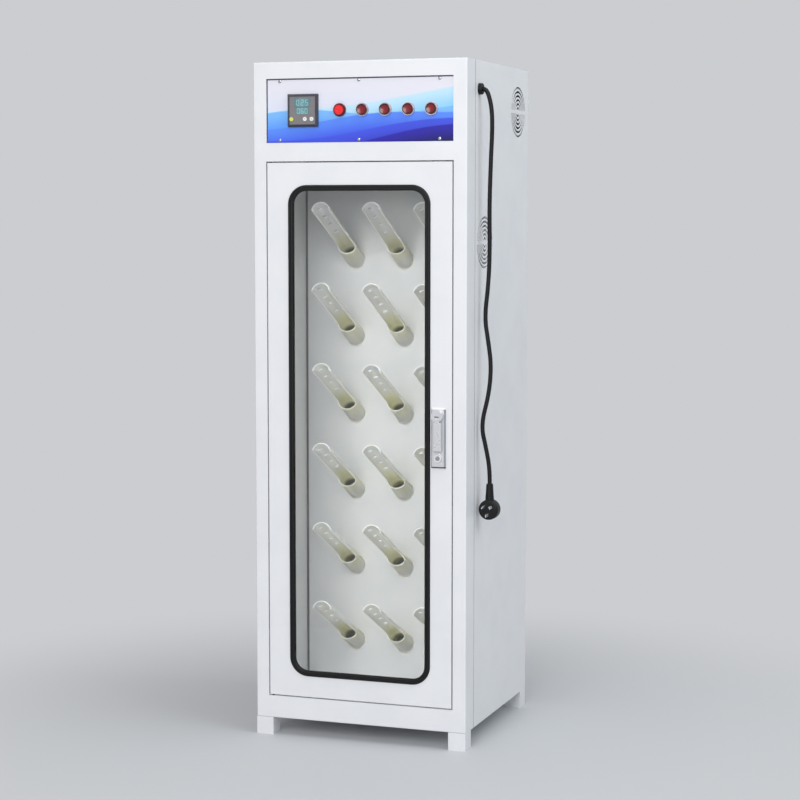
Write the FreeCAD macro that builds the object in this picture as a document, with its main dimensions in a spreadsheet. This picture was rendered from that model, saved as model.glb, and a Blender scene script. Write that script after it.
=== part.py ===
# Shoe dryer: a tall sheet-steel cabinet with a glazed door and eighteen warm-air tubes.
# Millimetres. +X is to the right of someone facing the door, +Y goes back, +Z is up.
# The origin is on the floor, at the middle of the cabinet's outline without its mains cord.
import FreeCAD, Part
import math
import os
import re
from FreeCAD import Placement, Rotation, Vector

SIZES = {
    # Cabinet shell
    "width": 500,
    "depth": 475,
    "height": 1520,
    "skin": 1.5,
    "edge_round": 2.5,
    "panel_fit": 0.5,
    "seam": 0.6,
    "frame_return": 59,
    "lap": 16,
    "flange": 20,
    "foot_size": 40,
    "foot_height": 40,
    "foot_wall": 2,
    # Front: the widths of its stiles and rails
    "stile": 30,
    "sill": 50.8,
    "rail": 40.9,
    "panel_height": 141.5,
    "header": 36.5,
    # Door and its hinges
    "door_depth": 20,
    "door_gap": 3,
    "reveal_depth": 26,
    "hinge_inset": 6,
    "pin_radius": 3,
    "pin_reach": 8,
    "collar_radius": 4.2,
    "collar_height": 5,
    "bracket_size": 22,
    "running_fit": 0.06,
    "slide_fit": 0.3,
    # Window, its rubber gasket and its glass
    "gasket_side": 49.6,
    "gasket_foot": 47.5,
    "gasket_head": 49.4,
    "gasket_corner": 43,
    "gasket_lip": 5.4,
    "gasket_web": 2.2,
    "gasket_proud": 4,
    "gasket_back": 3,
    "glass_thickness": 4,
    # Lock on the door
    "lock_inset": 30,
    "lock_height": 132.5,
    "lock_width": 33,
    "lock_plate": 6,
    "lock_bevel": 3,
    "lock_gap": 0.4,
    "lock_proud": 16,
    "rotor_below_top": 17.5,
    "rotor_radius": 13,
    "rotor_shaft": 7,
    "tongue_half": 5,
    "tongue_drop": 6,
    "pivot_radius": 1.5,
    "handle_half": 9.5,
    "handle_gap": 7,
    "lock_button_radius": 8.6,
    "lock_button_up": 21.5,
    "lock_button_proud": 3,
    "lock_button_length": 8,
    "cam_reach": 27,
    "cam_half": 8,
    "cam_thickness": 3,
    # Control panel
    "panel_margin": 31,
    "panel_recess": 3,
    "panel_plate": 2,
    "panel_ledge": 14,
    "panel_screw_side": 32,
    "panel_screw_inset": 6,
    "screw_radius": 2,
    "screw_length": 8,
    "screw_head": 2.2,
    "screw_head_radius": 4,
    # Temperature controller
    "controller_inset": 88.2,
    "controller_size": 72,
    "controller_proud": 9,
    "controller_bevel": 4,
    "controller_rim": 5,
    "controller_sink": 2,
    "controller_step": 3,
    "controller_length": 70,
    "display_thickness": 0.8,
    "upper_display_wide": 38,
    "upper_display_tall": 18,
    "upper_display_up": 17,
    "lower_display_wide": 30,
    "lower_display_tall": 13.5,
    "lower_display_down": 1.5,
    "key_radius": 4.6,
    "key_proud": 1.6,
    "key_depth": 5,
    "key_drop": 19,
    "key_pitch": 16,
    # Lamp and push buttons
    "lamp_spacing": 86.5,
    "button_inset": 50.1,
    "bezel_radius": 14.5,
    "bezel_proud": 5,
    "bezel_wall": 1.9,
    "bezel_floor": 0.6,
    "neck_radius": 11,
    "pilot_body_radius": 13.5,
    "pilot_length": 42,
    "cap_proud": 3.6,
    "cap_thickness": 4,
    "cap_dish": 1.4,
    "cap_rim": 1.5,
    "stem_radius": 8,
    "stem_length": 12,
    # Tube wall and air tubes
    "duct_depth": 170,
    "wall_flange": 15,
    "tube_outer": 45,
    "tube_thickness": 2.5,
    "tube_tilt": 27,
    "tube_tip_depth": 75,
    "tube_stub": 48,
    "tube_curve": 18,
    "tube_fit": 0.3,
    "tube_flange_radius": 34,
    "tube_flange": 2.5,
    "tube_pitch": 122,
    "first_row_up": 125,
    "last_row_down": 240.5,
    "tube_hole_radius": 4.5,
    "tube_hole_pitch": 38,
    "tube_hole_inset": 26,
    # Equipment deck
    "deck_rise": 18.9,
    "return_wide": 220,
    "return_long": 60,
    "return_depth": 90,
    # Vents in the right side
    "vent_bar_half": 4,
    "vent_first_radius": 7,
    "vent_slot": 5,
    "vent_pitch": 9.2,
    # Exhaust fan
    "exhaust_clear": 4.8,
    "exhaust_down": 198.3,
    "fan_size": 120,
    "fan_thickness": 38,
    "fan_rim": 3,
    "fan_hub": 21,
    "fan_shaft": 2.5,
    "fan_strut": 6,
    "fan_spider": 6,
    "fan_tip_gap": 2.5,
    "fan_blade_wide": 22,
    "fan_blade_thick": 2,
    # Blower over the duct
    "intake_up": 98.5,
    "blower_clear": 5.5,
    "blower_width": 80,
    "blower_wall": 2.5,
    "blower_stand": 10,
    "blower_inlet": 50,
    "collar_wall": 6,
    "blower_throat": 62,
    "wheel_gap": 20,
    "wheel_end_gap": 12,
    "wheel_rim": 3,
    "wheel_motor": 28,
    "wheel_motor_length": 38,
    "wheel_shaft": 4,
    "wheel_boss": 14,
    "wheel_boss_length": 7.5,
    "wheel_blade_deep": 11,
    "wheel_blade_thick": 1.5,
    # Heater, contactor and temperature probe
    "heater_height": 48,
    "heater_wall": 2,
    "heater_bar": 5,
    "contactor_x": -120,
    "contactor_depth": 220,
    "contactor_wide": 45,
    "contactor_long": 80,
    "contactor_tower": 40,
    "contactor_tall": 58,
    "contactor_foot": 12,
    "probe_x": 120,
    "probe_depth": 160,
    "probe_radius": 3,
    "probe_length": 60,
    "probe_head_radius": 7,
    "probe_head": 6,
    # Mains cord, gland and plug
    "gland_behind_seam": 28.4,
    "gland_below_top": 62.5,
    "gland_radius": 12.5,
    "gland_proud": 9,
    "gland_seat": 4,
    "gland_thread": 7.8,
    "gland_nut": 5,
    "cord_radius": 4.75,
    "plug_off": 28,
    "plug_depth": 85,
    "plug_z": 531,
    "plug_radius": 22.5,
    "plug_thickness": 26,
    "plug_round": 4,
    "plug_neck_top": 588,
    "plug_neck_small": 7.5,
    "plug_neck_large": 11,
    "blade_length": 18,
    "blade_wide": 6.3,
    "blade_thick": 1.6,
    "blade_circle": 11,
}
TUBE_ROWS = 6
TUBE_COLUMNS = 3
TUBE_HOLES = 4
BUTTONS = 4
KEY_NAMES = ("set_key", "down_key", "up_key")
VENT_RINGS = 6
FAN_BLADES = 7
FAN_BLADE_PITCH = 38
WHEEL_BLADES = 20
WHEEL_BLADE_PITCH = 35
HEATER_BARS = 5
REAR_SCREW_ROWS = 5
BLADE_TURNS = (50, -50, 180)
BLADE_LEANS = (-80, 80, 0)
TOUCH = 0.001

doc = FreeCAD.newDocument("shoe_dryer")
sheet = doc.addObject("Spreadsheet::Sheet", "Sizes")
for row, (alias, millimetres) in enumerate(SIZES.items(), start=1):
    sheet.set(f"A{row}", alias)
    sheet.set(f"B{row}", str(millimetres))
    sheet.setAlias(f"B{row}", alias)
doc.recompute()
nodes = {}

# Places worked out from the sizes. Depths are behind the front face, heights are above the floor.

INSIDE_HALF = "width / 2 - skin"
FOLDED_HALF = "width / 2 - 2 * skin - panel_fit"
SEAM_BACK = "frame_return + seam"
BASE_TOP = "foot_height + 2 * skin"
FOLDED_BACK = "depth - 2 * skin - panel_fit"
OPENING_HALF = "width / 2 - stile"
OPENING_BOTTOM = "foot_height + sill"
OPENING_TOP = "height - header - panel_height - rail"
DOOR_HALF = "width / 2 - stile - door_gap"
DOOR_BOTTOM = "foot_height + sill + door_gap"
DOOR_TOP = "height - header - panel_height - rail - door_gap"
HINGE_X = "stile + door_gap + hinge_inset - width / 2"
PANEL_HALF = "width / 2 - panel_margin"
PANEL_BOTTOM = "height - header - panel_height"
PANEL_TOP = "height - header"
PANEL_MIDDLE = "height - header - panel_height / 2"
PANEL_BACK = "panel_recess + panel_plate"
CONTROLLER_X = "controller_inset + panel_margin - width / 2"
CONTROLLER_FACE = "panel_recess - controller_proud + controller_sink"
BEZEL_FRONT = "panel_recess - bezel_proud"
BEZEL_FLOOR = "panel_recess - bezel_floor"
LENS_RADIUS = "bezel_radius - bezel_wall - slide_fit"
LENS_FRONT = "panel_recess - bezel_proud - cap_proud"
DECK_BOTTOM = "height - header - panel_height - rail + deck_rise"
DECK_TOP = "height - header - panel_height - rail + deck_rise + skin"
WALL_FRONT = "depth - duct_depth"
WALL_BACK = "depth - duct_depth + skin"
TUBE_LENGTH = "(depth - duct_depth - tube_tip_depth) / cos(tube_tilt * 1 deg)"
INTAKE_DEPTH = "depth - duct_depth / 2"
INTAKE_Z = DECK_TOP + " + intake_up"
BLOWER_RADIUS = "duct_depth / 2 - skin - blower_clear"
BLOWER_RIGHT = "width / 2 - skin - blower_stand"
BLOWER_LEFT = "width / 2 - skin - blower_stand - blower_width"
THROAT_BACK = "depth - skin - blower_clear"
THROAT_FRONT = "depth - skin - blower_clear - blower_throat"
WHEEL_RADIUS = BLOWER_RADIUS + " - wheel_gap"
WHEEL_LEFT = BLOWER_LEFT + " + wheel_boss_length + slide_fit"
WHEEL_RIGHT = BLOWER_RIGHT + " - wheel_end_gap"
EXHAUST_DEPTH = "frame_return + lap / 2 + exhaust_clear + fan_size / 2"
EXHAUST_Z = DECK_BOTTOM + " - exhaust_down"
FAN_BORE = "fan_size / 2 - fan_rim"
FAN_LEFT = "width / 2 - skin - fan_thickness"
CUT_OUT = "gasket_lip"
GLASS_EDGE = "gasket_lip + gasket_web"
SIGHT_EDGE = "2 * gasket_lip + gasket_web"
LOCK_X = DOOR_HALF + " - lock_inset"
LOCK_BOTTOM = f"(({DOOR_BOTTOM}) + ({DOOR_TOP}) - lock_height) / 2"
ROTOR_Z = LOCK_BOTTOM + " + lock_height - rotor_below_top"
LOCK_BUTTON_Z = LOCK_BOTTOM + " + lock_button_up"
PIVOT_Z = ROTOR_Z + " - tongue_drop"
HANDLE_FRONT = "-lock_proud"
HANDLE_BACK = "-lock_plate - lock_gap - lock_bevel"
PIVOT_DEPTH = "(-lock_proud - lock_plate - lock_gap - lock_bevel) / 2"
GLAND_DEPTH = "frame_return + gland_behind_seam"
GLAND_Z = "height - gland_below_top"
PLUG_X = "width / 2 + plug_off"


# Formulas

def size(alias):
    """A size as the sheet holds it."""
    return float(sheet.get(alias))


def bound(formula):
    """The formula with each size name in it read from the sheet."""
    return re.sub(r"[a-z_]+", lambda word: f"Sizes.{word[0]}" if word[0] in SIZES else word[0], formula)


def bind(item, **formulas):
    """Ties properties of an item to the sheet."""
    for name, formula in formulas.items():
        item.setExpression(name.replace("__", "."), bound(formula))


def place(item, x, depth_behind_front, z):
    """Puts an item's own origin at a place in the cabinet."""
    y = f"{depth_behind_front} - (depth + screw_head - lock_proud) / 2"
    bind(item, Placement__Base__x=x, Placement__Base__y=y, Placement__Base__z=z)


def place_alone(item, x, y, z):
    """Puts an item's own origin at a place in a frame of its own."""
    bind(item, Placement__Base__x=x, Placement__Base__y=y, Placement__Base__z=z)


def front_y():
    """The Y of the front face."""
    return -(size("depth") + size("screw_head") - size("lock_proud")) / 2


def both_sides(half):
    """A pair of formulas that runs the same way to both sides of the middle."""
    return f"-({half})", f"{half}"


def around(middle, half):
    """A pair of formulas that runs the same way to both sides of a place."""
    return f"{middle} - ({half})", f"{middle} + ({half})"


def on_side(sign, pair):
    """A pair of formulas for the right side, mirrored for the left one."""
    return pair if sign > 0 else (f"-({pair[1]})", f"-({pair[0]})")


# Basic shapes

def block(name, x, q, z, put=place):
    """A box. Each direction has a pair of formulas: where it starts and ends. q is the depth."""
    item = doc.addObject("Part::Box", name)
    bind(item, Length=f"({x[1]}) - ({x[0]})", Width=f"({q[1]}) - ({q[0]})", Height=f"({z[1]}) - ({z[0]})")
    put(item, x[0], q[0], z[0])
    return item


def rod(name, along, radius, span, x="0", q="0", z="0", put=place):
    """A round bar along x, q or z, from the first to the second formula of the span."""
    item = doc.addObject("Part::Cylinder", name)
    turns = {"x": Rotation(Vector(0, 1, 0), 90), "q": Rotation(Vector(1, 0, 0), -90), "z": Rotation()}
    item.Placement = Placement(Vector(), turns[along])
    bind(item, Radius=radius, Height=f"({span[1]}) - ({span[0]})")
    start = {"x": x, "q": q, "z": z, along: span[0]}
    put(item, start["x"], start["q"], start["z"])
    return item


def join(name, *items):
    """Several shapes as one solid."""
    item = doc.addObject("Part::MultiFuse", name)
    item.Shapes = list(items)
    item.Refine = True
    return item


def cut(name, base, *tools):
    """A shape less one or more others."""
    item = doc.addObject("Part::Cut", name)
    item.Base = base
    item.Tool = tools[0] if len(tools) == 1 else join(name + "_tools", *tools)
    item.Refine = True
    return item


def group(name, items):
    """Separate solids held together."""
    item = doc.addObject("Part::Compound", name)
    item.Links = items
    return item


def turned(name, item, axis, degrees):
    """An item turned about an axis through its own origin."""
    copy = group(name, [item])
    copy.Placement = Placement(Vector(), Rotation(axis, degrees))
    return copy


def dressed(kind, name, base, radius, side):
    """A fillet or chamfer on the edges that lie on one side of a shape."""
    doc.recompute()
    box = base.Shape.BoundBox
    tests = {"front": lambda edge: edge.BoundBox.YMax < box.YMin + TOUCH,
             "right": lambda edge: edge.BoundBox.XMin > box.XMax - TOUCH,
             "front and back": lambda edge: edge.BoundBox.YLength < TOUCH}
    item = doc.addObject("Part::" + kind, name)
    item.Base = base
    item.Edges = [(number, radius, radius) for number, edge in enumerate(base.Shape.Edges, start=1)
                  if tests[side](edge)]
    return item


def rounded_slab(name, half, bottom, top, corner, q):
    """An upright slab with four round corners, between two depths."""
    low = f"({bottom}) + ({corner})"
    high = f"({top}) - ({corner})"
    inner = f"({half}) - ({corner})"
    pieces = [block(name + "_tall", both_sides(inner), q, (bottom, top)),
              block(name + "_wide", both_sides(half), q, (low, high))]
    for x in both_sides(inner):
        for z in (low, high):
            pieces.append(rod(name + "_corner", "q", corner, q, x=x, z=z))
    return join(name, *pieces)


def node(label, item):
    """Names a finished sub-part."""
    item.Label = label
    nodes[label] = item


# Cabinet shell

def rear_screw_places():
    """Where the screws of the rear panel go through it, the left ones first."""
    heights = [f"foot_height + flange + {row} / {REAR_SCREW_ROWS - 1} * (height - foot_height - 2 * flange)"
               for row in range(REAR_SCREW_ROWS)]
    return [(x, z) for x in both_sides("width / 2 - skin - flange / 2") for z in heights]


def panel_screw_places():
    """Where the screws of the control panel go through it."""
    heights = (PANEL_BOTTOM + " + panel_screw_inset", PANEL_TOP + " - panel_screw_inset")
    left, right = both_sides(PANEL_HALF + " - panel_screw_side")
    return [(x, z) for x in (left, "0", right) for z in heights]


def screw_holes(name, places, q):
    """Clearance holes for screws."""
    return [rod(name, "q", "screw_radius + slide_fit", q, x=x, z=z) for x, z in places]


def front_frame():
    """The folded front: its returns, the reveal round the door and the ledge behind the panel."""
    outer = block("frame_outer", both_sides("width / 2"), ("0", "frame_return"), ("foot_height", "height"))
    eased = dressed("Fillet", "frame_eased", outer, size("edge_round"), "front")
    inner = block("frame_inner", both_sides(INSIDE_HALF), ("skin", "frame_return + skin"),
                  ("foot_height + skin", "height - skin"))
    reveal = block("frame_reveal", both_sides(OPENING_HALF + " + skin"), ("skin / 2", "reveal_depth"),
                   (OPENING_BOTTOM + " - skin", OPENING_TOP + " + skin"))
    recess = block("frame_recess", both_sides(PANEL_HALF + " + skin"), ("skin / 2", PANEL_BACK + " + skin"),
                   (PANEL_BOTTOM + " - skin", PANEL_TOP + " + skin"))
    solid = join("frame_solid", cut("frame_tray", eased, inner), reveal, recess)
    doorway = block("frame_doorway", both_sides(OPENING_HALF), ("-skin", "reveal_depth + skin"),
                    (OPENING_BOTTOM, OPENING_TOP))
    seat = block("frame_seat", both_sides(PANEL_HALF), ("-skin", PANEL_BACK), (PANEL_BOTTOM, PANEL_TOP))
    window_q = ("-skin", PANEL_BACK + " + 2 * skin")
    window = block("frame_window", both_sides(PANEL_HALF + " - panel_ledge"), window_q,
                   (PANEL_BOTTOM + " + panel_ledge", PANEL_TOP + " - panel_ledge"))
    pin_hole = rod("frame_pin_hole", "z", "pin_radius + panel_fit",
                   (OPENING_BOTTOM + " - 2 * skin", OPENING_TOP + " + 2 * skin"), x=HINGE_X, q="hinge_inset")
    holes = screw_holes("frame_screw_hole", panel_screw_places(), window_q)
    node("front_frame", cut("front_frame", solid, doorway, seat, window, pin_hole, *holes))


def vent_slots(name, depth_behind_front, z):
    """Rings of half-round slots through the right side, with a bar left across their middle."""
    through = (INSIDE_HALF + " - skin", "width / 2 + skin")
    rings = []
    for ring in range(VENT_RINGS):
        inside = f"vent_first_radius + {ring} * vent_pitch"
        hole = rod(name + "_outer", "x", inside + " + vent_slot", through, q=depth_behind_front, z=z)
        left = rod(name + "_inner", "x", inside, through, q=depth_behind_front, z=z)
        rings.append(cut(name + "_ring", hole, left))
    reach = f"vent_first_radius + {VENT_RINGS} * vent_pitch"
    bar = block(name + "_bar", through, around(depth_behind_front, reach), around(z, "vent_bar_half"))
    return cut(name, join(name + "_rings", *rings), bar)


def side_panel(label, sign, *openings):
    """A flat side with flanges for the base, the back and the lid, and a lap behind the front's return."""
    flange_x = on_side(sign, ("width / 2 - flange", "width / 2 - skin / 2"))
    behind_seam = (SEAM_BACK, "depth - skin")
    plate = block(label + "_plate", on_side(sign, (INSIDE_HALF, "width / 2")), (SEAM_BACK, "depth"),
                  ("foot_height", "height - skin"))
    lap = block(label + "_lap", on_side(sign, (INSIDE_HALF + " - skin", INSIDE_HALF)),
                ("frame_return - lap", "frame_return + lap / 2"),
                ("foot_height + flange", "height - flange"))
    bottom = block(label + "_bottom", flange_x, behind_seam, ("foot_height", "foot_height + skin"))
    back = block(label + "_back", flange_x, ("depth - 2 * skin", "depth - skin"),
                 ("foot_height", "height - skin"))
    lid_rest = block(label + "_lid_rest", flange_x, behind_seam, ("height - 2 * skin", "height - skin"))
    folded = join(label + "_folded", plate, lap, bottom, back, lid_rest)
    left_places = rear_screw_places()[:REAR_SCREW_ROWS]
    right_places = rear_screw_places()[REAR_SCREW_ROWS:]
    holes = screw_holes(label + "_screw_hole", right_places if sign > 0 else left_places,
                        ("depth - 3 * skin", "depth"))
    node(label, cut(label, folded, *holes, *openings))


def right_side_openings():
    """The two vents and the hole for the cable gland."""
    gland = rod("gland_hole", "x", "gland_thread + slide_fit", (INSIDE_HALF + " - skin", "width / 2 + skin"),
                q=GLAND_DEPTH, z=GLAND_Z)
    return (vent_slots("intake_slots", INTAKE_DEPTH, INTAKE_Z),
            vent_slots("exhaust_slots", EXHAUST_DEPTH, EXHAUST_Z), gland)


def top_panel():
    """The lid, with a lap under the front's return."""
    plate = block("top_plate", both_sides("width / 2"), (SEAM_BACK, "depth"), ("height - skin", "height"))
    lap = block("top_lap", both_sides("width / 2 - 2 * flange"),
                ("frame_return - lap", "frame_return + lap"), ("height - 2 * skin", "height - skin"))
    node("top_panel", join("top_panel", plate, lap))


def rear_panel():
    """The flat back, screwed to the flanges of the sides."""
    plate = block("rear_plate", both_sides(INSIDE_HALF + " - panel_fit"), ("depth - skin", "depth"),
                  ("foot_height", "height - skin - panel_fit"))
    holes = screw_holes("rear_screw_hole", rear_screw_places(), ("depth - 2 * skin", "depth + skin"))
    node("rear_panel", cut("rear_panel", plate, *holes))


def base_pan():
    """The floor of the cabinet, lying on the flanges of the front and the sides."""
    node("base_pan", block("base_pan", both_sides(FOLDED_HALF), ("skin", FOLDED_BACK),
                           ("foot_height + skin", BASE_TOP)))


def feet():
    """Four square feet under the corners, each a tube closed at the floor."""
    solids = []
    for sign in (-1, 1):
        outer_x = on_side(sign, ("width / 2 - foot_size", "width / 2"))
        inner_x = on_side(sign, ("width / 2 - foot_size + foot_wall", "width / 2 - foot_wall"))
        for start in ("0", "depth - foot_size"):
            outer = block("foot_outer", outer_x, (start, f"{start} + foot_size"), ("0", "foot_height"))
            inner_q = (f"{start} + foot_wall", f"{start} + foot_size - foot_wall")
            hollow = block("foot_hollow", inner_x, inner_q, ("foot_wall", "foot_height + foot_wall"))
            solids.append(cut("foot", outer, hollow))
    node("feet", group("feet", solids))


# Tube wall and air tubes
# A tube is made in a frame of its own: Z along it, Y to its upper side, the origin on the wall's front.

def tube_places():
    """Where the axis of each tube meets the wall's front, from the lowest row up."""
    first = BASE_TOP + " + first_row_up"
    last = DECK_BOTTOM + " - last_row_down"
    places = {}
    for row in range(TUBE_ROWS):
        z = f"({first}) + {row} / {TUBE_ROWS - 1} * (({last}) - ({first}))"
        for column in range(TUBE_COLUMNS):
            x = f"{column - (TUBE_COLUMNS - 1) / 2} * tube_pitch"
            places[f"air_tube_{row + 1}_{column + 1}"] = (x, z)
    return places


def tube_turn():
    """The turn that lays a tube's own frame into the cabinet."""
    return Rotation(Vector(1, 0, 0), 90 - size("tube_tilt"))


def tube_bar(name, radius, end):
    """A round bar along a tube, from well behind the wall."""
    return rod(name, "z", radius, ("-2 * tube_outer", end), put=place_alone)


def tube_blank():
    """A whole tube with its flange behind the wall, before anything is cut from it."""
    flange = rod("tube_flange_disc", "q", "tube_flange_radius", ("0", "tube_flange"), put=place_alone)
    seat = turned("tube_flange_seat", flange, Vector(1, 0, 0), size("tube_tilt") - 90)
    drop = size("skin") * math.tan(math.radians(size("tube_tilt")))
    seat.Placement.Base = tube_turn().inverted().multVec(Vector(0, size("skin"), -drop))
    return join("tube_blank", tube_bar("tube_round", "tube_outer / 2", TUBE_LENGTH), seat)


def tube_tools():
    """What is cut from a tube: its bore, the open lower half, the air holes and all behind its flange."""
    across = both_sides("tube_outer")
    bore = tube_bar("tube_bore", "tube_outer / 2 - tube_thickness", TUBE_LENGTH + " + tube_outer")
    end = TUBE_LENGTH + " + tube_outer"
    trough = block("tube_trough", across, ("-tube_outer", "0"), ("tube_stub + tube_curve", end),
                   put=place_alone)
    lip = block("tube_lip", across, ("-tube_outer", "-tube_curve"), ("tube_stub", end), put=place_alone)
    bend = rod("tube_bend", "x", "tube_curve", across, q="-tube_curve", z="tube_stub + tube_curve",
               put=place_alone)
    holes = [rod("tube_hole", "q", "tube_hole_radius", ("0", "tube_outer"),
                 z=f"{TUBE_LENGTH} - tube_hole_inset - {number} * tube_hole_pitch", put=place_alone)
             for number in range(TUBE_HOLES)]
    wide = both_sides("3 * tube_outer")
    rear = block("tube_rear", wide, ("skin + tube_flange", "5 * tube_outer"), wide, put=place_alone)
    behind = turned("tube_behind", rear, Vector(1, 0, 0), size("tube_tilt") - 90)
    return join("tube_tools", bore, trough, lip, bend, behind, *holes)


def air_tubes():
    """Every tube is the same cut, in its own place on the wall."""
    blank = tube_blank()
    tools = tube_tools()
    for label, (x, z) in tube_places().items():
        tube = cut(label, blank, tools)
        tube.Placement = Placement(Vector(), tube_turn())
        place(tube, x, WALL_FRONT, z)
        node(label, tube)


def tube_wall():
    """The sheet in front of the air duct, with a hole for every tube and flanges along the sides."""
    half = INSIDE_HALF + " - panel_fit"
    span_z = (BASE_TOP, DECK_BOTTOM)
    pieces = [block("wall_plate", both_sides(half), (WALL_FRONT, WALL_BACK), span_z)]
    for sign in (-1, 1):
        pieces.append(block("wall_fold", on_side(sign, (half + " - skin", half)),
                            (WALL_FRONT, WALL_BACK + " + wall_flange"), span_z))
    bar = tube_bar("wall_hole_bar", "tube_outer / 2 + tube_fit", "tube_outer")
    holes = []
    for x, z in tube_places().values():
        hole = turned("wall_hole", bar, Vector(1, 0, 0), 90 - size("tube_tilt"))
        place(hole, x, WALL_FRONT, z)
        holes.append(hole)
    node("tube_wall", cut("tube_wall", join("wall_folded", *pieces), *holes))


# Equipment deck, blower, heater and the rest above the chamber

def equipment_deck():
    """The shelf over the chamber, open over the duct and for the return of the chamber's air."""
    plate = block("deck_plate", both_sides(FOLDED_HALF), ("skin", FOLDED_BACK), (DECK_BOTTOM, DECK_TOP))
    through = (DECK_BOTTOM + " - skin", DECK_TOP + " + skin")
    duct = block("deck_duct", (BLOWER_LEFT + " + blower_wall", BLOWER_RIGHT + " - blower_wall"),
                 (THROAT_FRONT + " + blower_wall", THROAT_BACK + " - blower_wall"), through)
    back_way = block("deck_return", both_sides("return_wide / 2"),
                     ("return_depth", "return_depth + return_long"), through)
    probe = rod("deck_probe_hole", "z", "probe_radius + slide_fit", through, x="probe_x", q="probe_depth")
    node("equipment_deck", cut("equipment_deck", plate, duct, back_way, probe))


def blower_bar(name, radius, start, end):
    """A round bar on the axis of the blower."""
    return rod(name, "x", radius, (start, end), q=INTAKE_DEPTH, z=INTAKE_Z)


def blower_housing():
    """A drum with a throat down to the deck, a collar at the side vent and a boss for the shaft."""
    drum = blower_bar("blower_drum", BLOWER_RADIUS, BLOWER_LEFT, BLOWER_RIGHT)
    throat = block("blower_neck", (BLOWER_LEFT, BLOWER_RIGHT), (THROAT_FRONT, THROAT_BACK),
                   (DECK_TOP, INTAKE_Z))
    collar = blower_bar("blower_collar", "blower_inlet + collar_wall", BLOWER_RIGHT, INSIDE_HALF)
    inner_x = (BLOWER_LEFT + " + blower_wall", BLOWER_RIGHT + " - blower_wall")
    space = blower_bar("blower_space", BLOWER_RADIUS + " - blower_wall", *inner_x)
    neck_space = block("blower_neck_space", inner_x,
                       (THROAT_FRONT + " + blower_wall", THROAT_BACK + " - blower_wall"),
                       (DECK_BOTTOM, INTAKE_Z))
    inlet = blower_bar("blower_eye", "blower_inlet", BLOWER_RIGHT + " - 2 * blower_wall", "width / 2")
    shell = cut("blower_shell", join("blower_outer", drum, throat, collar), space, neck_space, inlet)
    boss = blower_bar("blower_boss", "wheel_boss", BLOWER_LEFT, BLOWER_LEFT + " + wheel_boss_length")
    bore = blower_bar("blower_bore", "wheel_shaft + running_fit", BLOWER_LEFT + " - blower_wall", WHEEL_LEFT)
    node("blower_housing", cut("blower_housing", join("blower_body", shell, boss), bore))


def ring_of(name, blade, count, x, q, z):
    """Blades set evenly round an axis along X."""
    blades = []
    for number in range(count):
        copy = turned(name, blade, Vector(1, 0, 0), 360 * number / count)
        place(copy, x, q, z)
        blades.append(copy)
    return blades


def blower_wheel():
    """A cage of blades between a back plate and a rim, turning on a shaft with its own rotor."""
    plate = blower_bar("wheel_plate", WHEEL_RADIUS, WHEEL_LEFT, WHEEL_LEFT + " + wheel_rim")
    rotor = blower_bar("wheel_rotor", "wheel_motor", WHEEL_LEFT, WHEEL_LEFT + " + wheel_motor_length")
    shaft = blower_bar("wheel_axle", "wheel_shaft", BLOWER_LEFT, WHEEL_LEFT + " + wheel_rim")
    rim = blower_bar("wheel_rim_disc", WHEEL_RADIUS, WHEEL_RIGHT + " - wheel_rim", WHEEL_RIGHT)
    eye = blower_bar("wheel_eye", WHEEL_RADIUS + " - wheel_blade_deep / 2",
                     WHEEL_RIGHT + " - 2 * wheel_rim", WHEEL_RIGHT + " + wheel_rim")
    flat = block("wheel_blade_flat", ("wheel_rim / 2", f"{WHEEL_RIGHT} - ({WHEEL_LEFT}) - wheel_rim / 2"),
                 ("0", "wheel_blade_thick"), ("0", "wheel_blade_deep - wheel_rim / 2"), put=place_alone)
    blade = turned("wheel_blade_leaning", flat, Vector(1, 0, 0), WHEEL_BLADE_PITCH)
    place_alone(blade, "0", "0", WHEEL_RADIUS + " - wheel_blade_deep")
    blades = ring_of("wheel_blade", blade, WHEEL_BLADES, WHEEL_LEFT, INTAKE_DEPTH, INTAKE_Z)
    node("blower_wheel", join("blower_wheel", plate, rotor, shaft, cut("wheel_ring", rim, eye), *blades))


def heater():
    """A duct frame under the deck with heating bars across it."""
    span_z = (DECK_BOTTOM + " - heater_height", DECK_BOTTOM)
    outer = block("heater_outer", (BLOWER_LEFT, BLOWER_RIGHT), (THROAT_FRONT, THROAT_BACK), span_z)
    inner = block("heater_inner", (BLOWER_LEFT + " + heater_wall", BLOWER_RIGHT + " - heater_wall"),
                  (THROAT_FRONT + " + heater_wall", THROAT_BACK + " - heater_wall"),
                  (span_z[0] + " - heater_wall", span_z[1] + " + heater_wall"))
    bars = []
    for number in range(HEATER_BARS):
        middle = f"{THROAT_FRONT} + {number + 1} / {HEATER_BARS + 1} * blower_throat"
        bars.append(block("heater_bar_block", (BLOWER_LEFT, BLOWER_RIGHT), around(middle, "heater_bar / 2"),
                          (span_z[0] + " + heater_wall", span_z[1] + " - 4 * heater_wall")))
    node("heater", join("heater", cut("heater_duct", outer, inner), *bars))


def contactor():
    """The switching relay: a tower on a mounting foot."""
    span_x = around("contactor_x", "contactor_wide / 2")
    foot = block("contactor_foot_block", span_x, around("contactor_depth", "contactor_long / 2"),
                 (DECK_TOP, DECK_TOP + " + contactor_foot"))
    tower = block("contactor_tower_block", span_x, around("contactor_depth", "contactor_tower / 2"),
                  (DECK_TOP, DECK_TOP + " + contactor_tall"))
    node("contactor", join("contactor", foot, tower))


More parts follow.
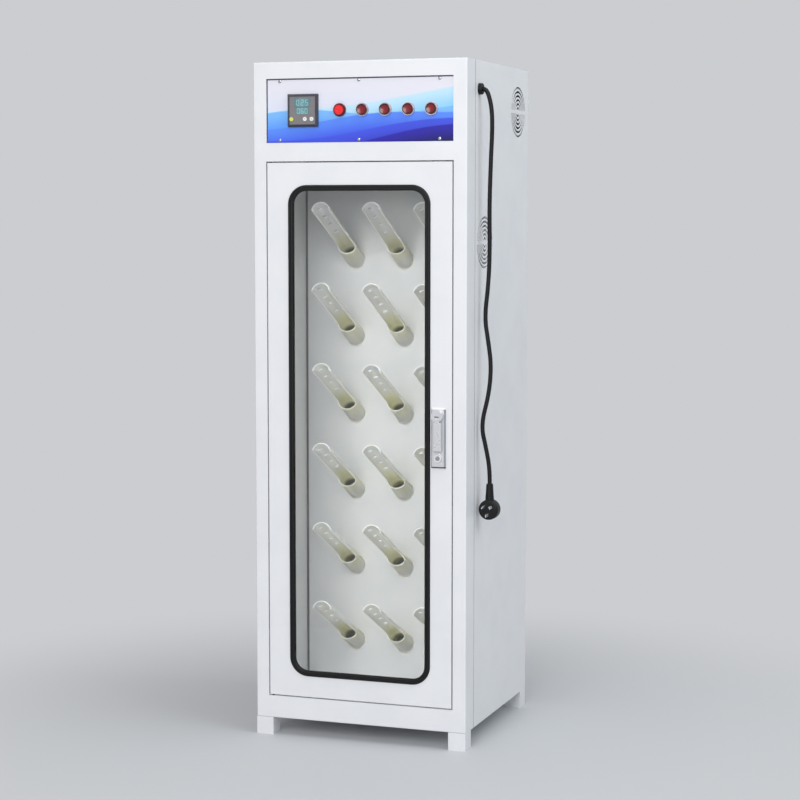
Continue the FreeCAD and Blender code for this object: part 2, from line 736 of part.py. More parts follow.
def temperature_probe():
    """A probe that hangs from the deck into the chamber."""
    at = {"x": "probe_x", "q": "probe_depth"}
    head = rod("probe_cap", "z", "probe_head_radius", (DECK_TOP, DECK_TOP + " + probe_head"), **at)
    stem = rod("probe_stem", "z", "probe_radius",
               (DECK_BOTTOM + " - probe_length", DECK_TOP + " + probe_head / 2"), **at)
    node("temperature_probe", join("temperature_probe", head, stem))


# Exhaust fan

def fan_bar(name, radius, start, end):
    """A round bar on the axis of the exhaust fan."""
    return rod(name, "x", radius, (start, end), q=EXHAUST_DEPTH, z=EXHAUST_Z)


def exhaust_fan_frame():
    """A square frame against the side, with a spider that carries the fan's shaft."""
    square = block("fan_square", (FAN_LEFT, INSIDE_HALF), around(EXHAUST_DEPTH, "fan_size / 2"),
                   around(EXHAUST_Z, "fan_size / 2"))
    ring = cut("fan_ring", square, fan_bar("fan_bore_bar", FAN_BORE, FAN_LEFT + " - skin", "width / 2"))
    spider = (FAN_LEFT, FAN_LEFT + " + fan_spider")
    hub = fan_bar("fan_spider_hub", "fan_hub", *spider)
    level = block("fan_strut_level", spider, around(EXHAUST_DEPTH, "fan_size / 2"),
                  around(EXHAUST_Z, "fan_strut / 2"))
    upright = block("fan_strut_upright", spider, around(EXHAUST_DEPTH, "fan_strut / 2"),
                    around(EXHAUST_Z, "fan_size / 2"))
    solid = join("fan_frame_solid", ring, hub, level, upright)
    bore = fan_bar("fan_shaft_hole", "fan_shaft + running_fit", FAN_LEFT + " - skin",
                   FAN_LEFT + " + 2 * fan_spider")
    node("exhaust_fan_frame", cut("exhaust_fan_frame", solid, bore))


def exhaust_fan_rotor():
    """A hub with pitched blades and a shaft in the spider."""
    start = FAN_LEFT + " + fan_spider + slide_fit"
    end = INSIDE_HALF + " - fan_spider"
    hub = fan_bar("fan_rotor_hub", "fan_hub", start, end)
    shaft = fan_bar("fan_rotor_shaft", "fan_shaft", FAN_LEFT, start + " + fan_spider")
    flat = block("fan_blade_flat", both_sides("fan_blade_wide / 2"), both_sides("fan_blade_thick / 2"),
                 ("fan_hub / 2", FAN_BORE + " - fan_tip_gap"), put=place_alone)
    blade = turned("fan_blade_pitched", flat, Vector(0, 0, 1), FAN_BLADE_PITCH)
    blades = ring_of("fan_blade", blade, FAN_BLADES, f"(({start}) + ({end})) / 2", EXHAUST_DEPTH, EXHAUST_Z)
    node("exhaust_fan_rotor", join("exhaust_fan_rotor", hub, shaft, *blades))


# Control panel

def pilot_x(number):
    """The X of a lamp or button in the row, counted from the lamp."""
    first = f"{CONTROLLER_X} + lamp_spacing"
    last = f"{PANEL_HALF} - button_inset"
    return f"{first} + {number} / {BUTTONS} * ({last} - ({first}))"


def control_panel():
    """The plate in the recess, with openings for the controller, the lamp, the buttons and the screws."""
    through = ("panel_recess - skin", PANEL_BACK + " + skin")
    plate = block("panel_sheet", both_sides(PANEL_HALF + " - panel_fit"), ("panel_recess", PANEL_BACK),
                  (PANEL_BOTTOM + " + panel_fit", PANEL_TOP + " - panel_fit"))
    half = "controller_size / 2 - controller_step + slide_fit"
    tools = [block("panel_controller_hole", around(CONTROLLER_X, half), through, around(PANEL_MIDDLE, half))]
    for number in range(BUTTONS + 1):
        tools.append(rod("panel_pilot_hole", "q", "neck_radius + slide_fit", through,
                         x=pilot_x(number), z=PANEL_MIDDLE))
    tools += screw_holes("panel_screw_hole", panel_screw_places(), through)
    node("control_panel", cut("control_panel", plate, *tools))


def screws():
    """Cross-slot pan-head screws: those of the control panel and those of the rear panel."""
    head = rod("screw_pan", "z", "screw_head_radius", ("0", "screw_head"), put=place_alone)
    shank = rod("screw_shank", "z", "screw_radius", ("-screw_length", "screw_head / 2"), put=place_alone)
    long_side = both_sides("screw_radius")
    short_side = both_sides("screw_radius / 4")
    deep = ("screw_head / 2", "2 * screw_head")
    cross = join("screw_cross", block("screw_slot_level", long_side, short_side, deep, put=place_alone),
                 block("screw_slot_upright", short_side, long_side, deep, put=place_alone))
    blank = join("screw_blank", head, shank)
    seats = ((panel_screw_places(), "panel_recess", 90), (rear_screw_places(), "depth", -90))
    solids = []
    for places, seat, turn in seats:
        for x, z in places:
            screw = cut("screw", blank, cross)
            screw.Placement = Placement(Vector(), Rotation(Vector(1, 0, 0), turn))
            place(screw, x, seat, z)
            solids.append(screw)
    node("pan_head_screws", group("pan_head_screws", solids))


def key_places():
    """Where the keys of the controller stand: one by itself on the left, two on the right."""
    columns = [f"{CONTROLLER_X} + {steps} * key_pitch" for steps in (-1.6, 0.4, 1.4)]
    return [(x, PANEL_MIDDLE + " - key_drop") for x in columns]


def controller():
    """The temperature controller: a bevelled case with a sunk face, two displays and three keys."""
    half = "controller_size / 2"
    bezel = block("controller_bezel", around(CONTROLLER_X, half),
                  ("panel_recess - controller_proud", "panel_recess"), around(PANEL_MIDDLE, half))
    bevelled = dressed("Chamfer", "controller_bevelled", bezel, size("controller_bevel"), "front")
    body_half = half + " - controller_step"
    body = block("controller_box", around(CONTROLLER_X, body_half),
                 ("panel_recess - controller_step", "panel_recess + controller_length"),
                 around(PANEL_MIDDLE, body_half))
    sunk_half = half + " - controller_rim"
    sunk = block("controller_sunk", around(CONTROLLER_X, sunk_half),
                 ("panel_recess - controller_proud - skin", CONTROLLER_FACE),
                 around(PANEL_MIDDLE, sunk_half))
    pocket = (CONTROLLER_FACE + " - skin", CONTROLLER_FACE + " + key_depth + key_proud")
    pockets = [rod("key_pocket", "q", "key_radius + slide_fit", pocket, x=x, z=z) for x, z in key_places()]
    node("controller_case", cut("controller_case", join("controller_solid", bevelled, body), sunk, *pockets))
    on_face = (CONTROLLER_FACE + " - display_thickness", CONTROLLER_FACE)
    upper = block("upper_display", around(CONTROLLER_X, "upper_display_wide / 2"), on_face,
                  around(PANEL_MIDDLE + " + upper_display_up", "upper_display_tall / 2"))
    lower = block("lower_display", around(CONTROLLER_X, "lower_display_wide / 2"), on_face,
                  around(PANEL_MIDDLE + " - lower_display_down", "lower_display_tall / 2"))
    node("controller_displays", group("controller_displays", [upper, lower]))
    key_span = (CONTROLLER_FACE + " - key_proud", CONTROLLER_FACE + " + key_depth")
    for label, (x, z) in zip(KEY_NAMES, key_places()):
        node(label, rod(label, "q", "key_radius", key_span, x=x, z=z))


def pilot_body(number):
    """The fixed part of a lamp or button: a bezel in front of the panel, a neck and a housing behind it."""
    at = {"x": pilot_x(number), "z": PANEL_MIDDLE}
    bezel = rod("pilot_bezel", "q", "bezel_radius", (BEZEL_FRONT, "panel_recess"), **at)
    neck = rod("pilot_neck", "q", "neck_radius", ("panel_recess - bezel_floor / 2", PANEL_BACK + " + skin"),
               **at)
    housing = rod("pilot_housing", "q", "pilot_body_radius", (PANEL_BACK, PANEL_BACK + " + pilot_length"),
                  **at)
    cup = rod("pilot_cup", "q", "bezel_radius - bezel_wall", (BEZEL_FRONT + " - skin", BEZEL_FLOOR), **at)
    guide = rod("pilot_guide", "q", "stem_radius + slide_fit",
                (BEZEL_FLOOR + " - skin", "panel_recess + 2 * stem_length"), **at)
    return cut("pilot_body", join("pilot_solid", bezel, neck, housing), cup, guide)


def push_button(label, x):
    """A red cap with a dished front, on a stem that slides in the button's body."""
    at = {"x": x, "z": PANEL_MIDDLE}
    cap = rod("button_cap", "q", LENS_RADIUS, (LENS_FRONT, LENS_FRONT + " + cap_thickness"), **at)
    stem = rod("button_stem", "q", "stem_radius",
               (LENS_FRONT + " + cap_thickness / 2", "panel_recess + stem_length"), **at)
    ball = f"(({LENS_RADIUS} - cap_rim) ^ 2 + cap_dish ^ 2) / (2 * cap_dish)"
    dish = doc.addObject("Part::Sphere", "button_dish")
    bind(dish, Radius=ball)
    place(dish, x, f"{LENS_FRONT} + cap_dish - {ball}", PANEL_MIDDLE)
    node(label, cut(label, join("button_solid", cap, stem), dish))


def lamp_and_buttons():
    """One signal lamp and the push buttons, in a row."""
    bodies = [pilot_body(number) for number in range(BUTTONS + 1)]
    node("lamp_and_button_bodies", group("lamp_and_button_bodies", bodies))
    lens = rod("lamp_lens", "q", LENS_RADIUS, (LENS_FRONT, BEZEL_FLOOR), x=pilot_x(0), z=PANEL_MIDDLE)
    node("lamp_lens", lens)
    for number in range(1, BUTTONS + 1):
        push_button(f"push_button_{number}", pilot_x(number))


# Door, window, hinges and lock

def window_slab(name, inset, q):
    """A slab with the window's round-cornered outline, drawn in from the gasket's outer edge."""
    half = f"{DOOR_HALF} - gasket_side - ({inset})"
    bottom = f"{DOOR_BOTTOM} + gasket_foot + ({inset})"
    top = f"{DOOR_TOP} - gasket_head - ({inset})"
    return rounded_slab(name, half, bottom, top, f"gasket_corner - ({inset})", q)


def door_panel():
    """A folded tray with the window cut-out, the lock's holes and holes for the hinge pins."""
    outer = block("door_outer", both_sides(DOOR_HALF), ("0", "door_depth"), (DOOR_BOTTOM, DOOR_TOP))
    inner = block("door_inner", both_sides(DOOR_HALF + " - skin"), ("skin", "door_depth + skin"),
                  (DOOR_BOTTOM + " + skin", DOOR_TOP + " - skin"))
    through = ("-skin", "2 * skin")
    opening = window_slab("door_window", CUT_OUT, through)
    rotor = rod("door_rotor_hole", "q", "rotor_shaft + panel_fit", through, x=LOCK_X, z=ROTOR_Z)
    press = rod("door_button_hole", "q", "lock_button_radius + panel_fit", through,
                x=LOCK_X, z=LOCK_BUTTON_Z)
    pins = rod("door_pin_hole", "z", "pin_radius + running_fit",
               (DOOR_BOTTOM + " - skin", DOOR_TOP + " + skin"), x=HINGE_X, q="hinge_inset")
    node("door_panel", cut("door_panel", cut("door_tray", outer, inner), opening, rotor, press, pins))


def window():
    """The glass and the rubber gasket that grips it and the edge of the door's cut-out."""
    node("window_glass", window_slab("window_glass", GLASS_EDGE, ("0", "glass_thickness")))
    back = "glass_thickness + gasket_back"
    body = window_slab("gasket_outer", "0", ("-gasket_proud", back))
    sight = window_slab("gasket_sight", SIGHT_EDGE, ("-2 * gasket_proud", back + " + skin"))
    glass_groove = window_slab("gasket_glass_groove", GLASS_EDGE, ("0", "glass_thickness"))
    door_groove = cut("gasket_door_groove", window_slab("gasket_groove_outer", "-skin", ("0", "skin")),
                      window_slab("gasket_groove_inner", CUT_OUT, ("-skin", "2 * skin")))
    node("window_gasket", cut("window_gasket", body, sight, glass_groove, door_groove))


def hinges():
    """A pin at the top and bottom of the door's left edge, each turning in a bracket on the frame."""
    at = {"x": HINGE_X, "q": "hinge_inset"}
    top_collar = (DOOR_TOP + " - skin - collar_height", DOOR_TOP + " - skin")
    low_collar = (DOOR_BOTTOM + " + skin", DOOR_BOTTOM + " + skin + collar_height")
    top_seat = (OPENING_TOP + " + skin", OPENING_TOP + " + skin + pin_reach")
    low_seat = (OPENING_BOTTOM + " - skin - pin_reach", OPENING_BOTTOM + " - skin")
    ends = ((top_collar, top_seat, (top_collar[0], top_seat[1])),
            (low_collar, low_seat, (low_seat[0], low_collar[1])))
    pins = []
    brackets = []
    for collar, seat, length in ends:
        bar = rod("hinge_pin_bar", "z", "pin_radius", length, **at)
        pins.append(join("hinge_pin", bar, rod("hinge_pin_collar", "z", "collar_radius", collar, **at)))
        body = block("hinge_bracket_block", around(HINGE_X, "bracket_size / 2"),
                     ("skin", "hinge_inset + bracket_size / 2"), seat)
        bore = rod("hinge_bracket_bore", "z", "pin_radius + running_fit",
                   (seat[0] + " - skin", seat[1] + " + skin"), **at)
        brackets.append(cut("hinge_bracket", body, bore))
    node("hinge_pins", group("hinge_pins", pins))
    node("hinge_brackets", group("hinge_brackets", brackets))


def lock_plate():
    """The bevelled plate on the door, bored for the rotor and for the release button."""
    plate = block("lock_plate_block", around(LOCK_X, "lock_width / 2"), ("-lock_plate", "0"),
                  (LOCK_BOTTOM, LOCK_BOTTOM + " + lock_height"))
    bevelled = dressed("Chamfer", "lock_plate_bevelled", plate, size("lock_bevel"), "front")
    through = ("-2 * lock_plate", "skin")
    rotor = rod("lock_rotor_bore", "q", "rotor_shaft + running_fit", through, x=LOCK_X, z=ROTOR_Z)
    press = rod("lock_button_bore", "q", "lock_button_radius + slide_fit", through,
                x=LOCK_X, z=LOCK_BUTTON_Z)
    node("lock_plate", cut("lock_plate", bevelled, rotor, press))


def lock_rotor():
    """The round head that the handle hangs in, its shaft through the door and the cam behind it."""
    at = {"x": LOCK_X, "z": ROTOR_Z}
    head = rod("rotor_head", "q", "rotor_radius", (HANDLE_FRONT, "-lock_plate - lock_gap"), **at)
    shaft = rod("rotor_axle", "q", "rotor_shaft",
                ("-lock_plate - 2 * lock_gap", "door_depth + cam_thickness"), **at)
    cam = block("rotor_cam", (LOCK_X + " - cam_half", LOCK_X + " + cam_reach"),
                ("door_depth", "door_depth + cam_thickness"), around(ROTOR_Z, "cam_half"))
    slot = block("rotor_slot", around(LOCK_X, "tongue_half + slide_fit"),
                 (HANDLE_FRONT + " - skin", HANDLE_BACK + " + lock_bevel / 2"),
                 (ROTOR_Z + " - 2 * rotor_radius", ROTOR_Z))
    bore = rod("rotor_pivot_bore", "x", "pivot_radius + running_fit", around(LOCK_X, "2 * rotor_radius"),
               q=PIVOT_DEPTH, z=PIVOT_Z)
    node("lock_rotor", cut("lock_rotor", join("rotor_solid", head, shaft, cam), slot, bore))


def lock_handle():
    """The bar with a tongue that hangs on its pivot pin in the rotor's slot."""
    top = ROTOR_Z + " - rotor_radius - slide_fit"
    bar = block("handle_bar", around(LOCK_X, "handle_half"), (HANDLE_FRONT, HANDLE_BACK),
                (LOCK_BUTTON_Z + " + lock_button_radius + handle_gap", top))
    eased = dressed("Fillet", "handle_eased", bar, size("edge_round"), "front")
    tongue_x = around(LOCK_X, "tongue_half")
    knuckle = rod("handle_knuckle", "x", "(lock_proud - lock_plate - lock_gap - lock_bevel) / 2", tongue_x,
                  q=PIVOT_DEPTH, z=PIVOT_Z)
    tongue = block("handle_tongue", tongue_x, (HANDLE_FRONT, HANDLE_BACK),
                   (top + " - 2 * edge_round", PIVOT_Z))
    pin = rod("handle_pin", "x", "pivot_radius", around(LOCK_X, "rotor_radius - tongue_drop / 2"),
              q=PIVOT_DEPTH, z=PIVOT_Z)
    node("lock_handle", join("lock_handle", eased, knuckle, tongue, pin))


def lock_button():
    """The round release button in the lock plate."""
    front = "-lock_plate - lock_button_proud"
    span = (front, front + " + lock_button_length")
    node("lock_button", rod("lock_button", "q", "lock_button_radius", span, x=LOCK_X, z=LOCK_BUTTON_Z))


# Mains cord, gland and plug

# The route of the cord's centre: distance out from the right side, depth behind the front, height.
CORD_ROUTE = [
    (4, 87.4, 1457.5), (12, 87.4, 1457.5), (18, 87.5, 1452), (22.3, 87.7, 1440.5), (26.5, 88, 1424),
    (29.5, 88, 1400), (29.5, 88.2, 1360), (26.5, 89, 1301), (23, 90.5, 1200), (24.4, 91, 1105),
    (21.5, 91, 1030), (13.5, 88.5, 957), (22.5, 88, 905), (29.8, 88, 850), (25.5, 85, 788), (9.3, 78, 719),
    (20.5, 81, 668), (28, 85, 622), (28, 85, 588),
]
ARC_SHARE = 0.45


def cord_path(points):
    """Straight runs joined by tangent arcs, each as large as its two runs allow."""
    edges = []
    radii = []
    here = points[0]
    for before, corner, after in zip(points, points[1:], points[2:]):
        back = (before - corner).normalize()
        ahead = (after - corner).normalize()
        trim = ARC_SHARE * min(before.distanceToPoint(corner), corner.distanceToPoint(after))
        half_turn = (math.pi - back.getAngle(ahead)) / 2
        radius = trim / math.tan(half_turn)
        inward = (back + ahead).normalize()
        middle = corner + inward * (radius / math.cos(half_turn) - radius)
        edges.append(Part.LineSegment(here, corner + back * trim).toShape())
        here = corner + ahead * trim
        edges.append(Part.Arc(corner + back * trim, middle, here).toShape())
        radii.append(radius)
    edges.append(Part.LineSegment(here, points[-1]).toShape())
    return Part.Wire(edges), radii


def power_cord():
    """The cord that hangs from the gland down to the plug."""
    points = [Vector(size("width") / 2 + out, front_y() + behind, up) for out, behind, up in CORD_ROUTE]
    path, radii = cord_path(points)
    ring = Part.Wire(Part.makeCircle(size("cord_radius"), points[0], points[1] - points[0]))
    tube = path.makePipeShell([ring], True, False)
    plain = math.pi * size("cord_radius") ** 2 * path.Length
    print("cord length", round(path.Length, 1))
    print("cord volume against section times length", round(tube.Volume / plain, 4))
    print("cord radii", [round(radius, 1) for radius in radii])
    item = doc.addObject("Part::Feature", "power_cord")
    item.Shape = tube
    node("power_cord", item)


def cable_gland():
    """A round gland clamped in the side, with a seat for the end of the cord and a nut inside."""
    at = {"q": GLAND_DEPTH, "z": GLAND_Z}
    inner_end = INSIDE_HALF + " - gland_nut"
    head = rod("gland_head", "x", "gland_radius", ("width / 2", "width / 2 + gland_proud"), **at)
    eased = dressed("Fillet", "gland_eased", head, size("edge_round"), "right")
    thread = rod("gland_thread_bar", "x", "gland_thread", (inner_end, "width / 2 + skin"), **at)
    nut = rod("gland_nut_ring", "x", "gland_radius", (inner_end, INSIDE_HALF), **at)
    mouth = rod("gland_mouth", "x", "cord_radius + panel_fit",
                ("width / 2 + gland_seat", "width / 2 + 2 * gland_proud"), **at)
    node("cable_gland", cut("cable_gland", join("gland_solid", eased, thread, nut), mouth))


def plug():
    """A round plug with a tapered neck at its top and three flat blades that point forward."""
    front = "plug_depth - plug_thickness / 2"
    disc = rod("plug_disc", "q", "plug_radius", (front, front + " + plug_thickness"), x=PLUG_X, z="plug_z")
    eased = dressed("Fillet", "plug_eased", disc, size("plug_round"), "front and back")
    neck = doc.addObject("Part::Cone", "plug_neck")
    bind(neck, Radius1="plug_neck_large", Radius2="plug_neck_small", Height="plug_neck_top - plug_z")
    place(neck, PLUG_X, "plug_depth", "plug_z")
    node("plug_body", join("plug_body", eased, neck))
    flat = block("plug_blade_flat", both_sides("blade_thick / 2"), ("-blade_length", "0"),
                 both_sides("blade_wide / 2"), put=place_alone)
    blades = []
    for turn, lean in zip(BLADE_TURNS, BLADE_LEANS):
        leaning = turned("plug_blade_leaning", flat, Vector(0, 1, 0), lean)
        place_alone(leaning, "0", "0", "blade_circle")
        blade = turned("plug_blade", leaning, Vector(0, 1, 0), turn)
        place(blade, PLUG_X, front, "plug_z")
        blades.append(blade)
    node("plug_blades", group("plug_blades", blades))


# Build, test and write

def build():
    """Makes every sub-part."""
    front_frame()
    side_panel("left_side_panel", -1)
    side_panel("right_side_panel", 1, *right_side_openings())
    top_panel()
    rear_panel()
    base_pan()
    feet()
    tube_wall()
    air_tubes()
    equipment_deck()
    blower_housing()
    blower_wheel()
    heater()
    contactor()
    temperature_probe()
    exhaust_fan_frame()
    exhaust_fan_rotor()
    control_panel()
    screws()
    controller()
    lamp_and_buttons()
    door_panel()
    window()
    hinges()
    lock_plate()
    lock_rotor()
    lock_handle()
    lock_button()
    cable_gland()
    power_cord()
    plug()
    doc.recompute()


def write():
    """Tests every object of the document, then writes each sub-part to its own file."""
    failed = [item.Name for item in doc.Objects if "Invalid" in item.State or "Error" in item.State]
    failed += [label for label, item in nodes.items() if item.Shape.isNull() or not item.Shape.isValid()]
    if failed:
        raise RuntimeError("failed: " + ", ".join(failed))
    os.makedirs("parts", exist_ok=True)
    for label, item in nodes.items():
        item.Shape.exportStep(f"parts/{label}.step")
    print(len(nodes), "sub-parts written")


build()
write()
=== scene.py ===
# %% [markdown]
# # A shoe dryer with a glazed door
# A tall steel cabinet blows warm air through eighteen slanted plastic tubes, and a wet shoe hangs on each
# of them. The solid model already has every piece in its place, so this lesson adds what a solid can't
# have: paint, rubber, print, light and a camera. The model is loaded first. Nothing may make it larger.

# %% Load the solid model
import math
import bmesh
import bpy
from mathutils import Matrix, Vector


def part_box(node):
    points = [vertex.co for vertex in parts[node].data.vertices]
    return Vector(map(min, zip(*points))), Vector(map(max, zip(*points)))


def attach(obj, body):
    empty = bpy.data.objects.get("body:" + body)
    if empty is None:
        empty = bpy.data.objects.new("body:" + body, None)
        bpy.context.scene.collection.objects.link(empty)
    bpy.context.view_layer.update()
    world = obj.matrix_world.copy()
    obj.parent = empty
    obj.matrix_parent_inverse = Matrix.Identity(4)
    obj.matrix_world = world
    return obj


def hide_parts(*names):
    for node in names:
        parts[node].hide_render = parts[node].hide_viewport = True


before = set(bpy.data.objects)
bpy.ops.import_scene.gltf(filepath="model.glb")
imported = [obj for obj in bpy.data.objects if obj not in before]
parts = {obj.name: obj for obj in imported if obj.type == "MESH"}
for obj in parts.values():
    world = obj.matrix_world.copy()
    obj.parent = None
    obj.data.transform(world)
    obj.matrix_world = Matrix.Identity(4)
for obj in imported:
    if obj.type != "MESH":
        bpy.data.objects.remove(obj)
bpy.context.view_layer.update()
scene = bpy.context.scene
scene.view_settings.view_transform = "Standard"

# %% [markdown]
# ## The camera
# The photograph was taken from a little right of the door, about 4.8 m away and at chest height. Its place
# and lens were found by matching the corners of the cabinet, the door and the panel, so they are plain
# numbers here.

# %% Camera
SENSOR_MM = 36
LENS_MM = 93.71
CAMERA_PLACE = (1.6216, -4.5365, 1.1959)
DOWN_DEGREES = 5.242
LEFT_DEGREES = 19.5
CABINET_MIDDLE = Vector((0, 0, 0.76))
camera = bpy.data.objects.new("camera", bpy.data.cameras.new("camera"))
camera.data.sensor_width = SENSOR_MM
camera.data.lens = LENS_MM
camera.location = CAMERA_PLACE
camera.rotation_euler = (math.radians(90 - DOWN_DEGREES), 0, math.radians(LEFT_DEGREES))
scene.collection.objects.link(camera)
scene.camera = camera
print("camera stands", round((camera.location - CABINET_MIDDLE).length, 2), "m from the cabinet")

# %% [markdown]
# ## Shader maths as plain Python
# A finish is a small program that runs at every point of a surface. Wiring its nodes by hand hides the
# sums, so one small class wraps a socket and lets Python's own operators add the Math nodes. A second class
# adds any other node, and a third one starts a material from the place on the object, so that the pattern
# stays put from every side.

# %% A value that a node gives
class Value:
    """One output of a node. Operators on it add Math nodes, so 1 - mask means what it says."""

    def __init__(self, nodes, socket):
        self.nodes = nodes
        self.socket = socket

    def out(self, name):
        return Value(self.nodes, self.socket.node.outputs[name])

    def math(self, operation, *values):
        return self.nodes.add("ShaderNodeMath", {"operation": operation}, dict(enumerate(values)))

    def __add__(self, other):
        return self.math("ADD", self, other)

    def __radd__(self, other):
        return self.math("ADD", other, self)

    def __sub__(self, other):
        return self.math("SUBTRACT", self, other)

    def __rsub__(self, other):
        return self.math("SUBTRACT", other, self)

    def __mul__(self, other):
        return self.math("MULTIPLY", self, other)

    def __rmul__(self, other):
        return self.math("MULTIPLY", other, self)

    def __truediv__(self, other):
        return self.math("DIVIDE", self, other)

    def __lt__(self, other):
        return self.math("LESS_THAN", self, other)

    def __gt__(self, other):
        return self.math("GREATER_THAN", self, other)

    def __pow__(self, other):
        return self.math("POWER", self, other)

    def __abs__(self):
        return self.math("ABSOLUTE", self)

    def sine(self):
        return self.math("SINE", self)

    def larger(self, other):
        return self.math("MAXIMUM", self, other)


# %% A tree that any node can be added to
class Nodes:
    """A node tree with one method that adds a node, sets it up and fills its sockets."""

    def __init__(self, tree):
        self.tree = tree
        tree.nodes.clear()

    def add(self, kind, settings=None, sockets=None, output=0):
        node = self.tree.nodes.new(kind)
        for name, setting in (settings or {}).items():
            setattr(node, name, setting)
        for key, value in (sockets or {}).items():
            if isinstance(value, Value):
                self.tree.links.new(value.socket, node.inputs[key])
            else:
                node.inputs[key].default_value = value
        return Value(self, node.outputs[output]) if len(node.outputs) else None


# %% A material
class Finish(Nodes):
    """A material that starts from Object coordinates and ends in one Principled surface."""

    def __init__(self, name):
        self.material = bpy.data.materials.new(name)
        self.material.use_nodes = True
        super().__init__(self.material.node_tree)
        self.place = self.add("ShaderNodeTexCoord", output="Object")
        axes = self.add("ShaderNodeSeparateXYZ", sockets={0: self.place})
        self.x, self.y, self.z = axes.out("X"), axes.out("Y"), axes.out("Z")

    def noise(self, grain, detail=2):
        """Smooth noise from 0 to 1, with grains of that many metres."""
        sockets = {"Vector": self.place, "Scale": 1 / grain, "Detail": detail}
        return self.add("ShaderNodeTexNoise", sockets=sockets)

    def fade(self, value, start, end):
        """0 up to start, 1 from end on and a soft change between them."""
        sockets = {"Value": value, "From Min": start, "From Max": end}
        return self.add("ShaderNodeMapRange", {"interpolation_type": "SMOOTHSTEP"}, sockets)

    def mix(self, mask, first, second):
        """The first colour where the mask is 0, the second one where it is 1."""
        return self.add("ShaderNodeMix", {"data_type": "RGBA"}, {0: mask, 6: first, 7: second}, output=2)

    def mark(self, name):
        """A number that a mesh carries on its points or faces."""
        return self.add("ShaderNodeAttribute", {"attribute_name": name}, output="Fac")

    def bump(self, height):
        """A normal for a surface whose height, in metres, changes from place to place."""
        return self.add("ShaderNodeBump", sockets={"Height": height, "Distance": 1.0})

    def close(self, shader):
        self.add("ShaderNodeOutputMaterial", sockets={"Surface": shader})
        return self.material

    def surface(self, sockets):
        return self.close(self.add("ShaderNodeBsdfPrincipled", sockets=sockets))


def paint(red, green, blue):
    """A colour of 0 to 255 as a paint program gives it, in the linear numbers of a shader."""
    levels = [((level / 255 + 0.055) / 1.055) ** 2.4 for level in (red, green, blue)]
    return (*levels, 1.0)


def dress(material, *names):
    """Puts a finish on pieces of the solid model through their material slots."""
    for name in names:
        for slot in parts[name].material_slots:
            slot.material = material
    print(material.name, "on", len(names), "pieces")


# %% [markdown]
# ## A pale studio
# The cabinet is nearly white, so it stands on a light grey floor that melts into a backdrop of the same
# grey. The floor could end in a curved wall, but then other views would see past it. Here its colour fades
# with the distance into the grey that the camera, mirrors and glass also see in the sky, so there is no
# horizon from any side.

# %% Sky and floor
BACKDROP = paint(203, 205, 208)
SKY_LIGHT = 0.4
FLOOR_RADIUS = 14
FLOOR_SIDES = 96
FADE_START = 0.35
FADE_END = 1.5


def seen_directly(nodes):
    """1 for rays from the camera and those that a mirror or glass sends on."""
    path = nodes.add("ShaderNodeLightPath", output="Is Camera Ray")
    return path.larger(path.out("Is Glossy Ray")).larger(path.out("Is Transmission Ray"))


scene.world = bpy.data.worlds.new("studio")
scene.world.use_nodes = True
sky = Nodes(scene.world.node_tree)
light = sky.add("ShaderNodeBackground", sockets={"Color": (1, 1, 1, 1), "Strength": SKY_LIGHT})
grey = sky.add("ShaderNodeBackground", sockets={"Color": BACKDROP, "Strength": 1.0})
either = sky.add("ShaderNodeMixShader", sockets={0: seen_directly(sky), 1: light, 2: grey})
sky.add("ShaderNodeOutputWorld", sockets={"Surface": either})

floor_form = bmesh.new()
bmesh.ops.create_circle(floor_form, cap_ends=True, segments=FLOOR_SIDES, radius=FLOOR_RADIUS)
floor_mesh = bpy.data.meshes.new("floor")
floor_form.to_mesh(floor_mesh)
floor_form.free()
floor = bpy.data.objects.new("floor", floor_mesh)
scene.collection.objects.link(floor)
ground = Finish("floor_grey")
away = (ground.x * ground.x + ground.y * ground.y) ** 0.5
near = ground.add("ShaderNodeBsdfPrincipled", sockets={"Base Color": BACKDROP, "Roughness": 0.6})
far = ground.add("ShaderNodeEmission", sockets={"Color": BACKDROP})
melt = ground.fade(away, FADE_START, FADE_END) * seen_directly(ground)
ground.close(ground.add("ShaderNodeMixShader", sockets={0: melt, 1: near, 2: far}))
floor_mesh.materials.append(ground.material)
print("floor fades into the backdrop at", FADE_END, "m")

# %% [markdown]
# ## Three soft lamps
# Large area lamps give the even light of a product photograph: a key lamp beside the camera, a larger and
# slightly cooler one for the right side and a weak one above. Their powers are set so that a white surface
# that faces them shows the white that is written for it.

# %% Lamps
# Place, width in metres, power in watts and tint
LAMPS = {
    "key_lamp": ((0.5, -4.7, 2.5), 2.4, 112, (1.0, 1.0, 1.0)),
    "side_lamp": ((3.0, -0.7, 3.6), 2.8, 66, (0.88, 0.96, 1.0)),
    "top_lamp": ((0.3, -0.8, 4.6), 2.0, 25, (1.0, 1.0, 1.0)),
}
LAMP_TARGET = Vector((0, 0, 0.8))
for name, (stand, width, watts, tint) in LAMPS.items():
    lamp = bpy.data.objects.new(name, bpy.data.lights.new(name, "AREA"))
    lamp.data.size = width
    lamp.data.energy = watts
    lamp.data.color = tint
    lamp.location = stand
    lamp.rotation_euler = (LAMP_TARGET - lamp.location).to_track_quat("-Z", "Y").to_euler()
    scene.collection.objects.link(lamp)
    print(name, watts, "W")

# %% [markdown]
# ## The mains cord
# The black cord leaves a gland near the top of the right side and hangs to its plug in slow bends. It is
# one smooth NURBS curve along the same route as the solid's, and a round bevel gives it its thickness. The
# curve's order and end points are set after the points are there, because before that they have nothing to
# act on.

# %% Cord
CORD_DIAMETER = 0.0095
